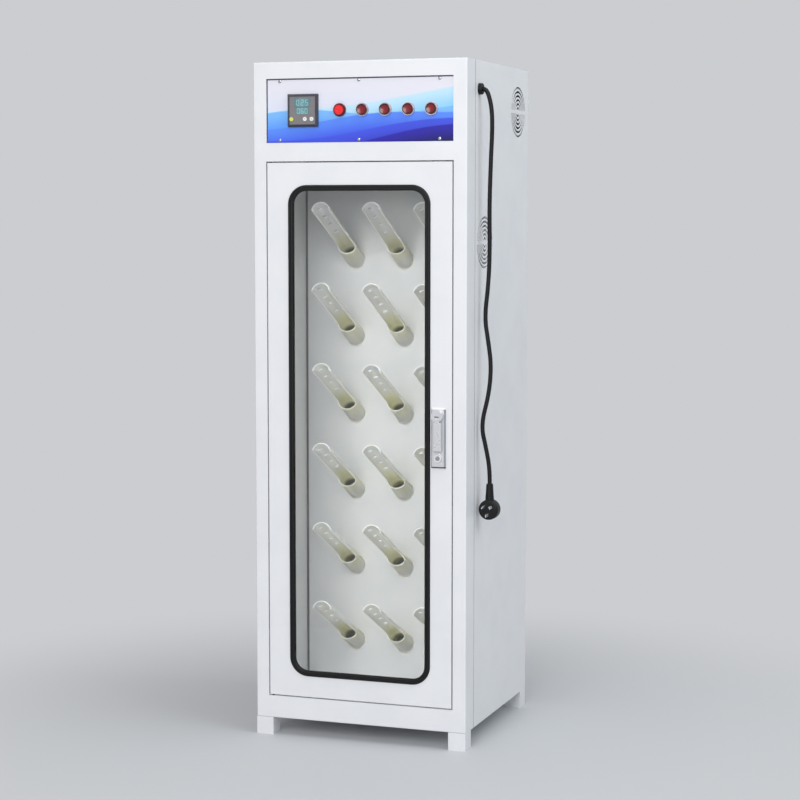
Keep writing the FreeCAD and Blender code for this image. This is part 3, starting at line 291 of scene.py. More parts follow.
# Out from the side, back from the front and up from the floor
CORD_ROUTE = [
    (0.004, 0.0874, 1.4575), (0.012, 0.0874, 1.4575), (0.018, 0.0875, 1.452), (0.0223, 0.0877, 1.4405),
    (0.0265, 0.088, 1.424), (0.0295, 0.088, 1.4), (0.0295, 0.0882, 1.36), (0.0265, 0.089, 1.301),
    (0.023, 0.0905, 1.2), (0.0244, 0.091, 1.105), (0.0215, 0.091, 1.03), (0.0135, 0.0885, 0.957),
    (0.0225, 0.088, 0.905), (0.0298, 0.088, 0.85), (0.0255, 0.085, 0.788), (0.0093, 0.078, 0.719),
    (0.0205, 0.081, 0.668), (0.028, 0.085, 0.622), (0.028, 0.085, 0.588),
]
side_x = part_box("right_side_panel")[1].x
front_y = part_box("front_frame")[0].y
cord_line = bpy.data.curves.new("mains_cord", "CURVE")
cord_line.dimensions = "3D"
spline = cord_line.splines.new("NURBS")
spline.points.add(len(CORD_ROUTE) - 1)
for point, (out, behind, up) in zip(spline.points, CORD_ROUTE):
    point.co = (side_x + out, front_y + behind, up, 1)
spline.order_u = 3
spline.use_endpoint_u = True
spline.resolution_u = 8
cord_line.bevel_depth = CORD_DIAMETER / 2
cord_line.bevel_resolution = 5
cord_line.use_fill_caps = True
cord = bpy.data.objects.new("mains_cord", cord_line)
scene.collection.objects.link(cord)
print("cord length", round(spline.calc_length(), 3), "m")

# %% [markdown]
# The cord's sheath is soft black rubber: nearly matt, a little greasy where it is handled, with a fine
# moulded texture. The gland and the plug are harder plastic of the same black.

# %% Black rubber and black plastic
SHINY_PATCH = 0.03
TEXTURE_HEIGHT = 0.00008


def moulding(name, level, roughness, grain, gloss=0.5):
    """Rubber or plastic of one grey level, finely textured, with patches that shine a little more."""
    grey = Finish(name)
    patches = grey.noise(SHINY_PATCH, 3)
    texture = grey.noise(grain, 2)
    tone = grey.mix(patches, paint(level, level, level + 1), paint(level + 9, level + 9, level + 11))
    normal = grey.bump(texture * TEXTURE_HEIGHT)
    shine = roughness - 0.12 * patches + 0.06 * texture
    return grey.surface({"Base Color": tone, "Roughness": shine, "Normal": normal,
                         "Specular IOR Level": gloss})


cord_rubber = moulding("cord_rubber", 9, 0.6, 0.0006, 0.3)
black_plastic = moulding("black_plastic", 7, 0.5, 0.0009, 0.3)
cord_line.materials.append(cord_rubber)
dress(black_plastic, "cable_gland", "plug_body")
out, behind, up = CORD_ROUTE[0]
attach(cord, "cabinet")
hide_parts("power_cord")

# %% [markdown]
# ## White powder coat
# The cabinet is folded sheet with a baked powder coat. The coat has a fine orange-peel skin, the sheet
# behind it is not quite flat, and the white is a touch uneven. Each of these is noise of its own size, and
# their heights are added in metres before one Bump node turns them into a normal. The gap between the
# front and the sides lies in shade, and a narrow mask on the depth paints that shade in grey. The tube
# wall is painted grey where it meets the sides, as painted shade in that joint.

# %% Powder coat
SHELL = ("front_frame", "left_side_panel", "right_side_panel", "top_panel", "rear_panel", "feet",
         "door_panel")
INSIDE = ("equipment_deck", "base_pan")
SEAM_DEPTH = 0.0596
SEAM_HALF = 0.001
WALL_SEAM = 0.006
WALL_SEAM_SOFT = 0.002
NO_WALL_SEAM = 1.0
PEEL_GRAIN = 0.0022
PEEL_HEIGHT = 0.00003
SHEET_GRAIN = 0.3
SHEET_HEIGHT = 0.0005
CLOUD_GRAIN = 0.09


def powder_coat(name, colour, shade, roughness, joint=NO_WALL_SEAM):
    """Baked powder on sheet steel. Past the joint's distance from the middle plane, and in the gap between
    the front and the sides, grey is painted as shade.
    """
    coat = Finish(name)
    peel = coat.noise(PEEL_GRAIN, 1)
    sheet = coat.noise(SHEET_GRAIN, 1)
    cloud = coat.noise(CLOUD_GRAIN, 4)
    clean = coat.mix(coat.fade(cloud, 0.35, 0.7), colour, shade)
    # Painted shade: grey in the gap between the front and the sides and where the tube wall meets the sides.
    front_gap_shade = abs(coat.y - front_y - SEAM_DEPTH) < SEAM_HALF
    wall_joint_shade = coat.fade(abs(coat.x), joint, joint + WALL_SEAM_SOFT)
    tone = coat.mix(front_gap_shade.larger(wall_joint_shade), clean, paint(96, 97, 99))
    normal = coat.bump(peel * PEEL_HEIGHT + sheet * SHEET_HEIGHT)
    shine = roughness + 0.08 * (cloud - 0.5) + 0.03 * peel
    return coat.surface({"Base Color": tone, "Roughness": shine, "Normal": normal, "IOR": 1.5})


dress(powder_coat("white_paint", paint(235, 236, 239), paint(231, 232, 236), 0.36), *SHELL)
dress(powder_coat("inner_paint", paint(237, 238, 238), paint(232, 234, 235), 0.45), *INSIDE)
wall_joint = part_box("tube_wall")[1].x - WALL_SEAM
dress(powder_coat("wall_paint", paint(219, 220, 221), paint(213, 215, 217), 0.45, wall_joint), "tube_wall")

# %% [markdown]
# ## The air tubes
# Each tube is a moulded oval pipe whose lower half is cut away in front of a stub, so that a shoe slides on
# and warm air reaches its toe through two rows of holes. All eighteen are alike. One tube is made as a
# sheet without thickness, in rings from the flange behind the wall to the round tip. Solidify gives it a
# wall, with a second material on the cut edges and a third one inside, and Bevel rounds it. The materials
# only serve to tell the faces apart: two attributes keep what they say.

# %% The sheet of one tube
TUBE_ACROSS = 0.0225
TUBE_UP = 0.0175
TUBE_WALL = 0.0025
TUBE_TILT = math.radians(27)
TUBE_STUB = 0.062
TUBE_CURVE = 0.010
TIP_RADIUS = 0.045
TIP_DEPTH = 0.075
FLANGE_RADIUS = 0.034
SHEET_SKIN = 0.0015
HOLES = 4
HOLE_RADIUS = 0.0045
HOLE_PITCH = 0.038
HOLE_INSET = 0.026
SIDES = 64
STUB_RINGS = 6
TIP_RINGS = 3
PATCH_SIDES = 8
PATCH_RINGS = 4
PATCH_HALF = 0.006
HOLE_SIDE = 6
ROUNDING = 1e-6
wall_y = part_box("tube_wall")[0].y
TUBE_LENGTH = (wall_y - front_y - TIP_DEPTH) / math.cos(TUBE_TILT)


def in_cabinet(across, crown, along):
    """A point of the tube, in the cabinet's directions, seen from where its axis meets the wall."""
    return Vector((across, crown * math.sin(TUBE_TILT) - along * math.cos(TUBE_TILT),
                   crown * math.cos(TUBE_TILT) + along * math.sin(TUBE_TILT)))


def along_axis(spot):
    """How far along the tube's axis such a point lies."""
    return spot.z * math.sin(TUBE_TILT) - spot.y * math.cos(TUBE_TILT)


def stub_edge(crown):
    """How far the stub reaches along the tube, at a height over its axis."""
    if crown >= 0:
        return TUBE_STUB + TUBE_CURVE
    drop = max(crown, -TUBE_CURVE) + TUBE_CURVE
    return TUBE_STUB + TUBE_CURVE - math.sqrt(TUBE_CURVE ** 2 - drop ** 2)


def trough_rings():
    """Places of the rings along the open half up to the last hole, and the ring where each patch starts."""
    rings = [TUBE_STUB + TUBE_CURVE]
    starts = {}
    for number in reversed(range(HOLES)):
        centre = TUBE_LENGTH - HOLE_INSET - number * HOLE_PITCH
        low = centre - PATCH_HALF
        rings += [(rings[-1] + low) / 2, low]
        starts[len(rings) - 1] = centre
        rings += [low + PATCH_HALF * 2 * step / PATCH_RINGS for step in range(1, PATCH_RINGS + 1)]
    return rings, starts


def tip_steps(across, last):
    """Rings from the last hole to the tip, which is round when seen from above."""
    tip = TUBE_LENGTH - TIP_RADIUS + math.sqrt(TIP_RADIUS ** 2 - across ** 2)
    return [last + (tip - last) * step / TIP_RINGS for step in range(1, TIP_RINGS + 1)]


print("tube length", round(TUBE_LENGTH, 4), "m")

# %% Rings, faces and holes
def tube_sheet():
    """The tube as one open sheet: flange, stub, trough and the rims of its air holes."""
    form = bmesh.new()
    rings, starts = trough_rings()
    grid = []
    for side in range(SIDES):
        angle = 2 * math.pi * side / SIDES
        across = TUBE_ACROSS * math.sin(angle)
        crown = TUBE_UP * math.cos(angle)
        upper = math.cos(angle) > -ROUNDING
        root = (crown * math.sin(TUBE_TILT) - SHEET_SKIN) / math.cos(TUBE_TILT)
        edge = stub_edge(0 if upper else crown)
        steps = [root + (edge - root) * step / STUB_RINGS for step in range(STUB_RINGS + 1)]
        if upper:
            steps += rings[1:] + tip_steps(across, rings[-1])
        drop = SHEET_SKIN * math.tan(TUBE_TILT)
        rim = Vector((FLANGE_RADIUS * math.sin(angle), SHEET_SKIN, FLANGE_RADIUS * math.cos(angle) - drop))
        line = [rim] + [in_cabinet(across, crown, step) for step in steps]
        grid.append([form.verts.new(spot) for spot in line])
    patches = []
    for middle in (HOLE_SIDE, SIDES - HOLE_SIDE):
        columns = [middle + step - PATCH_SIDES // 2 for step in range(PATCH_SIDES + 1)]
        patches += [(columns, start + STUB_RINGS + 1, centre) for start, centre in starts.items()]
    holed = {(side, start + step) for columns, start, centre in patches
             for side in columns[:-1] for step in range(PATCH_RINGS)}
    for side in range(SIDES):
        this, other = grid[side], grid[(side + 1) % SIDES]
        for ring in range(min(len(this), len(other)) - 1):
            if (side, ring) not in holed:
                form.faces.new((this[ring], this[ring + 1], other[ring + 1], other[ring]))
    for columns, start, centre in patches:
        cut_hole(form, [grid[side] for side in columns], start, centre)
    return form


def cut_hole(form, columns, start, centre):
    """Joins the square gap in the sheet to a round rim."""
    middle = columns[PATCH_SIDES // 2][start].co.x
    square = [columns[0][start + step] for step in range(PATCH_RINGS)]
    square += [columns[step][start + PATCH_RINGS] for step in range(PATCH_SIDES)]
    square += [columns[PATCH_SIDES][start + PATCH_RINGS - step] for step in range(PATCH_RINGS)]
    square += [columns[PATCH_SIDES - step][start] for step in range(PATCH_SIDES)]
    ring = []
    for corner in square:
        way = Vector((corner.co.x - middle, along_axis(corner.co) - centre)).normalized() * HOLE_RADIUS
        across = middle + way.x
        crown = TUBE_UP * math.sqrt(1 - (across / TUBE_ACROSS) ** 2)
        ring.append(form.verts.new(in_cabinet(across, crown, centre + way.y)))
    for step in range(len(square)):
        after = (step + 1) % len(square)
        form.faces.new((square[step], ring[step], ring[after], square[after]))


# %% Thickness and rounded edges
SHARP_ANGLE = math.radians(40)
SOFT_ANGLE = math.radians(50)
SOFT_WIDTH = 0.0008
FACE_KINDS = {"cut_edge": 1, "inside": 2}


def link(name, form):
    """A mesh under construction as an object of the scene."""
    mesh = bpy.data.meshes.new(name)
    form.to_mesh(mesh)
    form.free()
    piece = bpy.data.objects.new(name, mesh)
    scene.collection.objects.link(piece)
    return piece


def settle(piece):
    """Gives a piece the plain mesh that its modifiers show, in their place."""
    shown = piece.evaluated_get(bpy.context.evaluated_depsgraph_get())
    mesh = bpy.data.meshes.new_from_object(shown)
    piece.modifiers.clear()
    piece.data = mesh
    mesh.shade_smooth()
    mesh.set_sharp_from_angle(angle=SHARP_ANGLE)


sheet_form = tube_sheet()
bmesh.ops.recalc_face_normals(sheet_form, faces=sheet_form.faces)
tube = link("one_tube", sheet_form)
outward = sum(face.normal.dot(Vector((face.center.x, 0, 0))) for face in tube.data.polygons)
for slot in range(1 + len(FACE_KINDS)):
    tube.data.materials.append(None)
wall = tube.modifiers.new("wall", "SOLIDIFY")
wall.thickness = TUBE_WALL
wall.offset = -1 if outward > 0 else 1
wall.use_even_offset = True
wall.material_offset_rim = FACE_KINDS["cut_edge"]
wall.material_offset = FACE_KINDS["inside"]
soft = tube.modifiers.new("soft_edges", "BEVEL")
soft.width = SOFT_WIDTH
soft.segments = 2
soft.angle_limit = SOFT_ANGLE
settle(tube)
for kind, number in FACE_KINDS.items():
    mark = tube.data.attributes.new(kind, "FLOAT", "FACE")
    mark.data.foreach_set("value", [float(face.material_index == number) for face in tube.data.polygons])
along = tube.data.attributes.new("along", "FLOAT", "POINT")
along.data.foreach_set("value", [along_axis(spot.co) / TUBE_LENGTH for spot in tube.data.vertices])
print("one tube has", len(tube.data.polygons), "faces")

# %% [markdown]
# The plastic is milky with a yellow tinge and lets light through, and subsurface scattering carries the
# light through the wall. The mark for the place along the tube shifts the colour, and part of that is
# painted light: the trough is pale at the tip, its tinge deepens to olive towards the stub as painted shade,
# and the far end of the bore is painted near black as the shadow where no light comes out of the duct
# behind the wall. The cut edges are painted near white as a highlight and glow a little, painted light for
# the way the edge of a clear sheet gathers the light of the whole wall.

# %% Milky plastic
BORE_SPAN = (0.15, 0.06)
STUB_SPAN = (0.02, 0.24)
TROUGH_SPAN = (0.24, 0.5)
MILK_CLOUD = 0.02
MILK_CLOUD_HEIGHT = 0.0002
MILK_FLOW = 0.004
MILK_FLOW_HEIGHT = 0.00006


def milky_plastic():
    """Milky plastic whose colour changes along the tube, with spans as shares of its length."""
    milk = Finish("tube_plastic")
    along = milk.mark("along")
    edge = milk.mark("cut_edge")
    cloud = milk.noise(MILK_CLOUD, 3)
    flow = milk.noise(MILK_FLOW, 2)
    # The yellow tinge is the plastic's own. It deepens to olive towards the stub as painted shade, and the
    # trough is pale at the tip.
    toward_tip = milk.fade(along + 0.08 * (cloud - 0.5), *TROUGH_SPAN)
    trough = milk.mix(toward_tip, paint(240, 237, 190), paint(249, 248, 230))
    stub = milk.mix(milk.fade(along, *STUB_SPAN), paint(254, 248, 214), trough)
    # Near black inside the bore, towards the wall, is painted shadow.
    bore = milk.mix(milk.mark("inside") * milk.fade(along, *BORE_SPAN), stub, paint(74, 74, 54))
    # Near white on the cut edges is a painted highlight, and the emission below gives them a weak glow, also
    # painted light.
    tone = milk.mix(edge, bore, paint(253, 253, 249))
    normal = milk.bump(flow * MILK_FLOW_HEIGHT + cloud * MILK_CLOUD_HEIGHT)
    shine = 0.3 + 0.15 * cloud
    return milk.surface({"Base Color": tone, "Roughness": shine, "Normal": normal,
                         "Subsurface Weight": 0.85, "Subsurface Radius": (1.0, 0.97, 0.65),
                         "Subsurface Scale": 0.02, "IOR": 1.5,
                         "Emission Color": milk.mix(edge, (0, 0, 0, 1), paint(250, 250, 244)),
                         "Emission Strength": 0.14})


tube_plastic = milky_plastic()

# %% [markdown]
# ## Eighteen copies by Geometry Nodes
# The tubes stand on a grid of three columns and six rows. A Geometry Nodes tree makes that grid from named
# inputs, turns it upright and puts the tube on every point. Its copies are made real at the end, because an
# exporter does not know instances, and the result replaces the modifier as a plain mesh.

# %% A recipe with named inputs
class Recipe(Nodes):
    """A Geometry Nodes tree whose inputs are asked for by name and whose result gets one material."""

    def __init__(self, name):
        super().__init__(bpy.data.node_groups.new(name, "GeometryNodeTree"))
        self.tree.interface.new_socket("Mesh", in_out="OUTPUT", socket_type="NodeSocketGeometry")
        self.identifiers = {}

    def ask(self, name, kind):
        socket = self.tree.interface.new_socket(name, in_out="INPUT", socket_type="NodeSocket" + kind)
        self.identifiers[name] = socket.identifier
        return self.add("NodeGroupInput", output=name)

    def ask_shape(self, name):
        """The mesh of an object that is asked for by name."""
        sockets = {"Object": self.ask(name, "Object")}
        return self.add("GeometryNodeObjectInfo", sockets=sockets, output="Geometry")

    def serve(self, shape, material):
        whole = self.add("GeometryNodeRealizeInstances", sockets={0: shape})
        painted = self.add("GeometryNodeSetMaterial", sockets={"Geometry": whole, "Material": material})
        self.add("NodeGroupOutput", sockets={0: painted})

    def make(self, name, inputs):
        """Runs the recipe on an empty object and keeps the result as a plain mesh."""
        piece = bpy.data.objects.new(name, bpy.data.meshes.new(name))
        scene.collection.objects.link(piece)
        modifier = piece.modifiers.new("recipe", "NODES")
        modifier.node_group = self.tree
        for label, value in inputs.items():
            modifier[self.identifiers[label]] = value
        settle(piece)
        print(name, "has", len(piece.data.polygons), "faces")
        return piece


# %% Tubes on their wall
COLUMNS = 3
ROWS = 6
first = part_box("air_tube_1_1")
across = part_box("air_tube_1_2")[0].x - first[0].x
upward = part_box("air_tube_2_1")[0].z - first[0].z
lowest = first[0].z + FLANGE_RADIUS + SHEET_SKIN * math.tan(TUBE_TILT)
rack = Recipe("rack_of_tubes")
columns, rows = rack.ask("Columns", "Int"), rack.ask("Rows", "Int")
aside, above = rack.ask("Column pitch", "Float"), rack.ask("Row pitch", "Float")
spots = rack.add("GeometryNodeMeshGrid", sockets={"Size X": (columns - 1) * aside,
                                                  "Size Y": (rows - 1) * above,
                                                  "Vertices X": columns, "Vertices Y": rows})
upright = rack.add("GeometryNodeTransform", sockets={"Geometry": spots, "Rotation": (math.pi / 2, 0, 0),
                                                     "Translation": rack.ask("Centre", "Vector")})
copies = rack.add("GeometryNodeInstanceOnPoints",
                  sockets={"Points": upright, "Instance": rack.ask_shape("Tube")})
rack.serve(copies, tube_plastic)
tubes = rack.make("air_tubes", {"Columns": COLUMNS, "Rows": ROWS, "Column pitch": across, "Row pitch": upward,
                                "Centre": (0, wall_y, lowest + (ROWS - 1) / 2 * upward), "Tube": tube})
bpy.data.objects.remove(tube)
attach(tubes, "cabinet")
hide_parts(*[f"air_tube_{row}_{column}"
                     for row in range(1, ROWS + 1) for column in range(1, COLUMNS + 1)])

# %% [markdown]
# ## Window glass
# The pane is float glass with a faint green cast. Plain glass in Cycles would keep the lamps out of the
# cabinet, because light that bends can't be aimed at. Mixing in a Transparent shader for shadow rays lets
# the lamps through.

# %% Glass
glass = Finish("window_glass")
smear = glass.fade(glass.noise(0.12, 3), 0.5, 0.8)
pane = glass.add("ShaderNodeBsdfPrincipled", sockets={"Base Color": (0.985, 0.99, 0.988, 1),
                                                      "Roughness": 0.01 + 0.02 * smear,
                                                      "Transmission Weight": 1.0, "IOR": 1.5})
clear = glass.add("ShaderNodeBsdfTransparent", sockets={"Color": (0.966, 0.972, 0.97, 1)})
in_shadow = glass.add("ShaderNodeLightPath", output="Is Shadow Ray")
glass.close(glass.add("ShaderNodeMixShader", sockets={0: in_shadow, 1: pane, 2: clear}))
dress(glass.material, "window_glass")

# %% [markdown]
# ## The rubber gasket
# A black rubber profile grips the edge of the door on one side and the glass on the other, and a thin
# groove runs round its face where a filler strip locks it. A profile that is swept along a path is the work
# of Geometry Nodes: a rectangle with filleted corners is the path, and the section is a loop of edges.

# %% Section of the gasket
LIP = 0.0054
WEB = 0.0022
PROUD = 0.004
GROOVE = 0.0007
GRIP = 0.003
BACK_SOFT = 0.001
GLASS_THICK = 0.004
GASKET_CORNER = 0.043
CORNER_STEPS = 10
GASKET_WIDE = 2 * LIP + WEB


def gasket_section():
    """Points of the section: inwards from the outer edge, and forwards from the door's face."""
    middle = GASKET_WIDE / 2
    half = [(0, 0), (0.0003, 0.0017), (0.0013, 0.0031), (0.003, 0.0038), (middle - 2 * GROOVE, PROUD),
            (middle - GROOVE, PROUD - 0.0003), (middle - GROOVE / 2, PROUD - 0.0012)]
    face = half + [(GASKET_WIDE - inward, forward) for inward, forward in reversed(half)]
    back = -GLASS_THICK - GRIP
    return face + [(LIP + WEB, 0), (LIP + WEB, -GLASS_THICK), (GASKET_WIDE, -GLASS_THICK),
                   (GASKET_WIDE, back + BACK_SOFT), (GASKET_WIDE - BACK_SOFT, back), (BACK_SOFT, back),
                   (0, back + BACK_SOFT), (0, -SHEET_SKIN), (LIP, -SHEET_SKIN), (LIP, 0)]


section_form = bmesh.new()
loop = [section_form.verts.new((-forward, inward, 0)) for inward, forward in gasket_section()]
for here, after in zip(loop, loop[1:] + loop[:1]):
    section_form.edges.new((here, after))
section = link("gasket_section", section_form)
print("gasket section has", len(section.data.vertices), "points")

# %% Gasket along the window
low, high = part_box("window_gasket")
rubber = moulding("gasket_rubber", 8, 0.5, 0.0008, 0.3)
seal = Recipe("rubber_along_a_window")
outline = seal.add("GeometryNodeCurvePrimitiveQuadrilateral", sockets={0: seal.ask("Width", "Float"),
                                                                       1: seal.ask("Height", "Float")})
path = seal.add("GeometryNodeFilletCurve", {"mode": "POLY"},
                {"Curve": outline, "Radius": seal.ask("Corner", "Float"), "Count": CORNER_STEPS})
stand = seal.add("GeometryNodeTransform", sockets={"Geometry": path, "Rotation": (math.pi / 2, 0, 0),
                                                   "Translation": seal.ask("Centre", "Vector")})
profile = seal.add("GeometryNodeMeshToCurve", sockets={"Mesh": seal.ask_shape("Section")})
swept = seal.add("GeometryNodeCurveToMesh", sockets={"Curve": stand, "Profile Curve": profile})
seal.serve(swept, rubber)
gasket = seal.make("window_seal", {"Width": high.x - low.x, "Height": high.z - low.z,
                                   "Corner": GASKET_CORNER, "Section": section,
                                   "Centre": (0, front_y, (low.z + high.z) / 2)})
bpy.data.objects.remove(section)
corners = [[round(1000 * value, 1) for value in corner] for corner in (low, high)]
spots = [spot.co for spot in gasket.data.vertices]
print("gasket", corners, [[round(1000 * pick(spot[axis] for spot in spots), 1) for axis in range(3)]
                          for pick in (min, max)])
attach(gasket, "door")
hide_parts("window_gasket")

# %% [markdown]
# ## The printed panel
# The control panel is a plate with a printed film: white at the top and bands of blue that swell to the
# right. Each band is everything below a crest, and a crest is a slope plus a sine. The bands are laid over
# each other from the palest to the deepest, and each of them gets deeper away from its crest. Along the
# top and on the left a thin dark line is painted, the shade of the recess that the plate sits in.

# %% Wave print
# Height at the left, slope, swell, bends and start of a crest, its colour and the colour below it
WAVES = (
    (0.46, 0.34, 0.045, 4.4, 2.6, paint(196, 232, 252), paint(150, 212, 250)),
    (0.44, 0.06, 0.060, 6.6, 0.4, paint(128, 190, 252), paint(96, 158, 252)),
    (0.26, 0.22, 0.055, 5.6, 4.6, paint(92, 142, 250), paint(70, 96, 236)),
    (0.05, 0.26, 0.060, 5.0, 3.6, paint(66, 86, 226), paint(48, 46, 186)),
    (-0.16, 0.38, 0.050, 6.2, 2.4, paint(44, 36, 168), paint(18, 8, 84)),
)
GAP_TOP = 0.0026
GAP_LEFT = 0.0022
BAND_DEPTH = 0.3
CREST_SOFT = 0.012
film = Finish("panel_print")
low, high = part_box("control_panel")
across = (film.x - low.x) / (high.x - low.x)
level = (film.z - low.z) / (high.z - low.z)
ink = film.mix(film.fade(level, 0.4, 0.9), paint(222, 228, 246), paint(231, 230, 240))
for base, slope, swell, bend, start, bright, dark in WAVES:
    crest = base + slope * across + swell * (bend * across + start).sine()
    band = film.mix(film.fade(crest - level, 0.0, BAND_DEPTH), bright, dark)
    ink = film.mix(film.fade(crest - level, -CREST_SOFT, CREST_SOFT), ink, band)
# A thin dark line along the top and the left edge is painted shade of the plate's recess.
gap = (film.z > high.z - GAP_TOP).larger(film.x < low.x + GAP_LEFT)
ink = film.mix(gap, ink, paint(74, 76, 86))
grain = film.noise(0.0012, 2)
film.surface({"Base Color": ink, "Roughness": 0.42 + 0.1 * grain, "Normal": film.bump(grain * 0.00004),
              "Specular IOR Level": 0.3})
dress(film.material, "control_panel")

# %% [markdown]
# ## The temperature controller
# A small square instrument: a black bevelled frame, a warm grey face in it, two lit displays and three
# keys. Its case is one piece of the solid model, so the grey face is a mask on the place: all that lies
# inside the frame.

# %% Case and face
FRAME_WIDE = 0.0052
low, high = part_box("controller_case")
case_x = (low.x + high.x) / 2
case_z = (low.z + high.z) / 2
face_half = (high.x - low.x) / 2 - FRAME_WIDE
case = Finish("controller_plastic")
inside = (abs(case.x - case_x) < face_half) * (abs(case.z - case_z) < face_half)
grain = case.noise(0.0007, 2)
patches = case.noise(0.02, 3)
grey = case.mix(patches, paint(118, 115, 118), paint(132, 128, 130))
black = case.mix(patches, paint(50, 51, 60), paint(64, 65, 74))
case.surface({"Base Color": case.mix(inside, black, grey), "Roughness": 0.38 + 0.2 * grain,
              "Normal": case.bump(grain * 0.00006)})
dress(case.material, "controller_case")

# %% [markdown]
# The displays glow in a dull cyan behind a smoked window, a little brighter in their middle. The digits are
# built from up to seven bars each. A bar is one small mesh, and a recipe puts it on marked points: every
# point carries the turn of its bar, so the same recipe also serves other things that are set on points,
# such as screws.

# %% Display window
screen = Finish("display")
low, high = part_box("controller_displays")
middle = screen.fade(abs(screen.x - case_x), (high.x - low.x) / 2, 0)
haze = screen.noise(0.004, 2)
tone = screen.mix(middle, paint(92, 128, 134), paint(112, 154, 160))
screen.surface({"Base Color": tone, "Roughness": 0.18 + 0.1 * haze,
                "Emission Color": screen.mix(haze, paint(60, 110, 118), paint(84, 140, 146)),
                "Emission Strength": 0.12})
dress(screen.material, "controller_displays")

# %% Things on marked points
def marked_points(name, places):
    """A mesh of points that each carry a turn."""
    mesh = bpy.data.meshes.new(name)
    mesh.from_pydata([place for place, turn in places], [], [])
    turns = mesh.attributes.new("turn", "FLOAT_VECTOR", "POINT")
    for entry, (place, turn) in zip(turns.data, places):
        entry.vector = turn
    piece = bpy.data.objects.new(name, mesh)
    scene.collection.objects.link(piece)
    return piece


def set_on_points(name, shape, places, material):
    """Copies of one shape on points, each turned as its point says."""
    recipe = Recipe(name)
    points = marked_points(name + "_points", places)
    where = recipe.ask_shape("Points")
    what = recipe.ask_shape("Shape")
    turn = recipe.add("GeometryNodeInputNamedAttribute", {"data_type": "FLOAT_VECTOR"}, {"Name": "turn"})
    copies = recipe.add("GeometryNodeInstanceOnPoints",
                        sockets={"Points": where, "Instance": what, "Rotation": turn})
    recipe.serve(copies, material)
    piece = recipe.make(name, {"Points": points, "Shape": shape})
    bpy.data.objects.remove(points)
    bpy.data.objects.remove(shape)
    return piece


# %% Bars of the digits
BAR_LONG = 0.0052
BAR_WIDE = 0.0011
BAR_THICK = 0.0002
BAR_STEP = 0.54 * BAR_LONG
# Steps to the right and up from the digit's middle, and 1 for an upright bar
SEGMENTS = {"top": (0, 2, 0), "upper_left": (-1, 1, 1), "upper_right": (1, 1, 1), "middle": (0, 0, 0),
            "lower_left": (-1, -1, 1), "lower_right": (1, -1, 1), "bottom": (0, -2, 0)}
LIT = {"0": "top upper_left upper_right lower_left lower_right bottom",
       "2": "top upper_right middle lower_left bottom",
       "5": "top upper_left middle lower_right bottom",
       "6": "top upper_left middle lower_left lower_right bottom"}


def digit_bar():
    """A flat bar with pointed ends, lying in the display's plane."""
    form = bmesh.new()
    half, tip = BAR_LONG / 2 - BAR_WIDE / 2, BAR_LONG / 2
    outline = [(-tip, 0), (-half, -BAR_WIDE / 2), (half, -BAR_WIDE / 2), (tip, 0), (half, BAR_WIDE / 2),
               (-half, BAR_WIDE / 2)]
    corners = [form.verts.new((right, 0, up)) for right, up in outline]
    face = form.faces.new(corners)
    wall = bmesh.ops.extrude_face_region(form, geom=[face])
    for vertex in wall["geom"]:
        if isinstance(vertex, bmesh.types.BMVert):
            vertex.co.y -= BAR_THICK
    bmesh.ops.recalc_face_normals(form, faces=form.faces)
    return link("digit_bar", form)


def digit_places(text, centre_x, face_y, centre_z, pitch):
    """Points and turns of the lit bars of a row of digits."""
    places = []
    for number, digit in enumerate(text):
        digit_x = centre_x + (number - (len(text) - 1) / 2) * pitch
        for name in LIT[digit].split():
            right, up, turned = SEGMENTS[name]
            spot = (digit_x + right * BAR_STEP, face_y, centre_z + up * BAR_STEP)
            places.append((spot, (0, math.pi / 2 * turned, 0)))
    return places


# %% Digits on the two displays
UPPER_DROP = 0.009
UPPER_PITCH = 0.0108
LOWER_RISE = 0.00675
LOWER_PITCH = 0.0092
glow = Finish("digit_glow")
glow.surface({"Base Color": glow.mix(glow.noise(0.002, 2), paint(142, 190, 194), paint(160, 206, 208)),
              "Roughness": 0.4, "Emission Color": paint(140, 210, 210), "Emission Strength": 0.05})
low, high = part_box("controller_displays")
bars = digit_places("025", case_x, low.y, high.z - UPPER_DROP, UPPER_PITCH)
bars += digit_places("060", case_x, low.y, low.z + LOWER_RISE, LOWER_PITCH)
digits = set_on_points("display_digits", digit_bar(), bars, glow.material)
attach(digits, "cabinet")

# %% Keys
ARROW_TIP = 0.0016
ARROW_FOOT = -0.0014
ARROW_SLOPE = 0.65


def key_finish(name, colour, shade, arrow):
    """A soft key with a little arrow printed on it: 1 points up, -1 points down, 0 has none."""
    key = Finish(name)
    haze = key.noise(0.003, 3)
    tone = key.mix(haze, colour, shade)
    if arrow:
        low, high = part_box(name)
        right = key.x - (low.x + high.x) / 2
        up = (key.z - (low.z + high.z) / 2) * arrow
        inside = (abs(right) < (ARROW_TIP - up) * ARROW_SLOPE) * (up > ARROW_FOOT)
        tone = key.mix(inside, tone, paint(186, 188, 190))
    key.surface({"Base Color": tone, "Roughness": 0.42 + 0.1 * haze, "Normal": key.bump(haze * 0.0001)})
    dress(key.material, name)


key_finish("set_key", paint(226, 228, 120), paint(208, 206, 92), 0)
key_finish("down_key", paint(240, 240, 238), paint(226, 226, 226), -1)
key_finish("up_key", paint(240, 240, 238), paint(226, 226, 226), 1)

# %% [markdown]
# ## Lamp and push buttons
# Red caps in round bezels. The lamp is lit, so it glows. The four buttons are unlit but get a faint painted
# glow, and their dished caps are dark red plastic with a clear coat, which gives the small bright spot on
# each. The bezels of the buttons are plated; the lamp's own is painted dark red and mostly not metal, a
# painted reflection of the lit lamp. All five are one piece of the solid model, so a mask on the place
# tells them apart.

# %% Red caps and bezels
PUSH_BUTTONS = 4
RIM_SOFT = 0.2
LAMP_REACH = 0.02


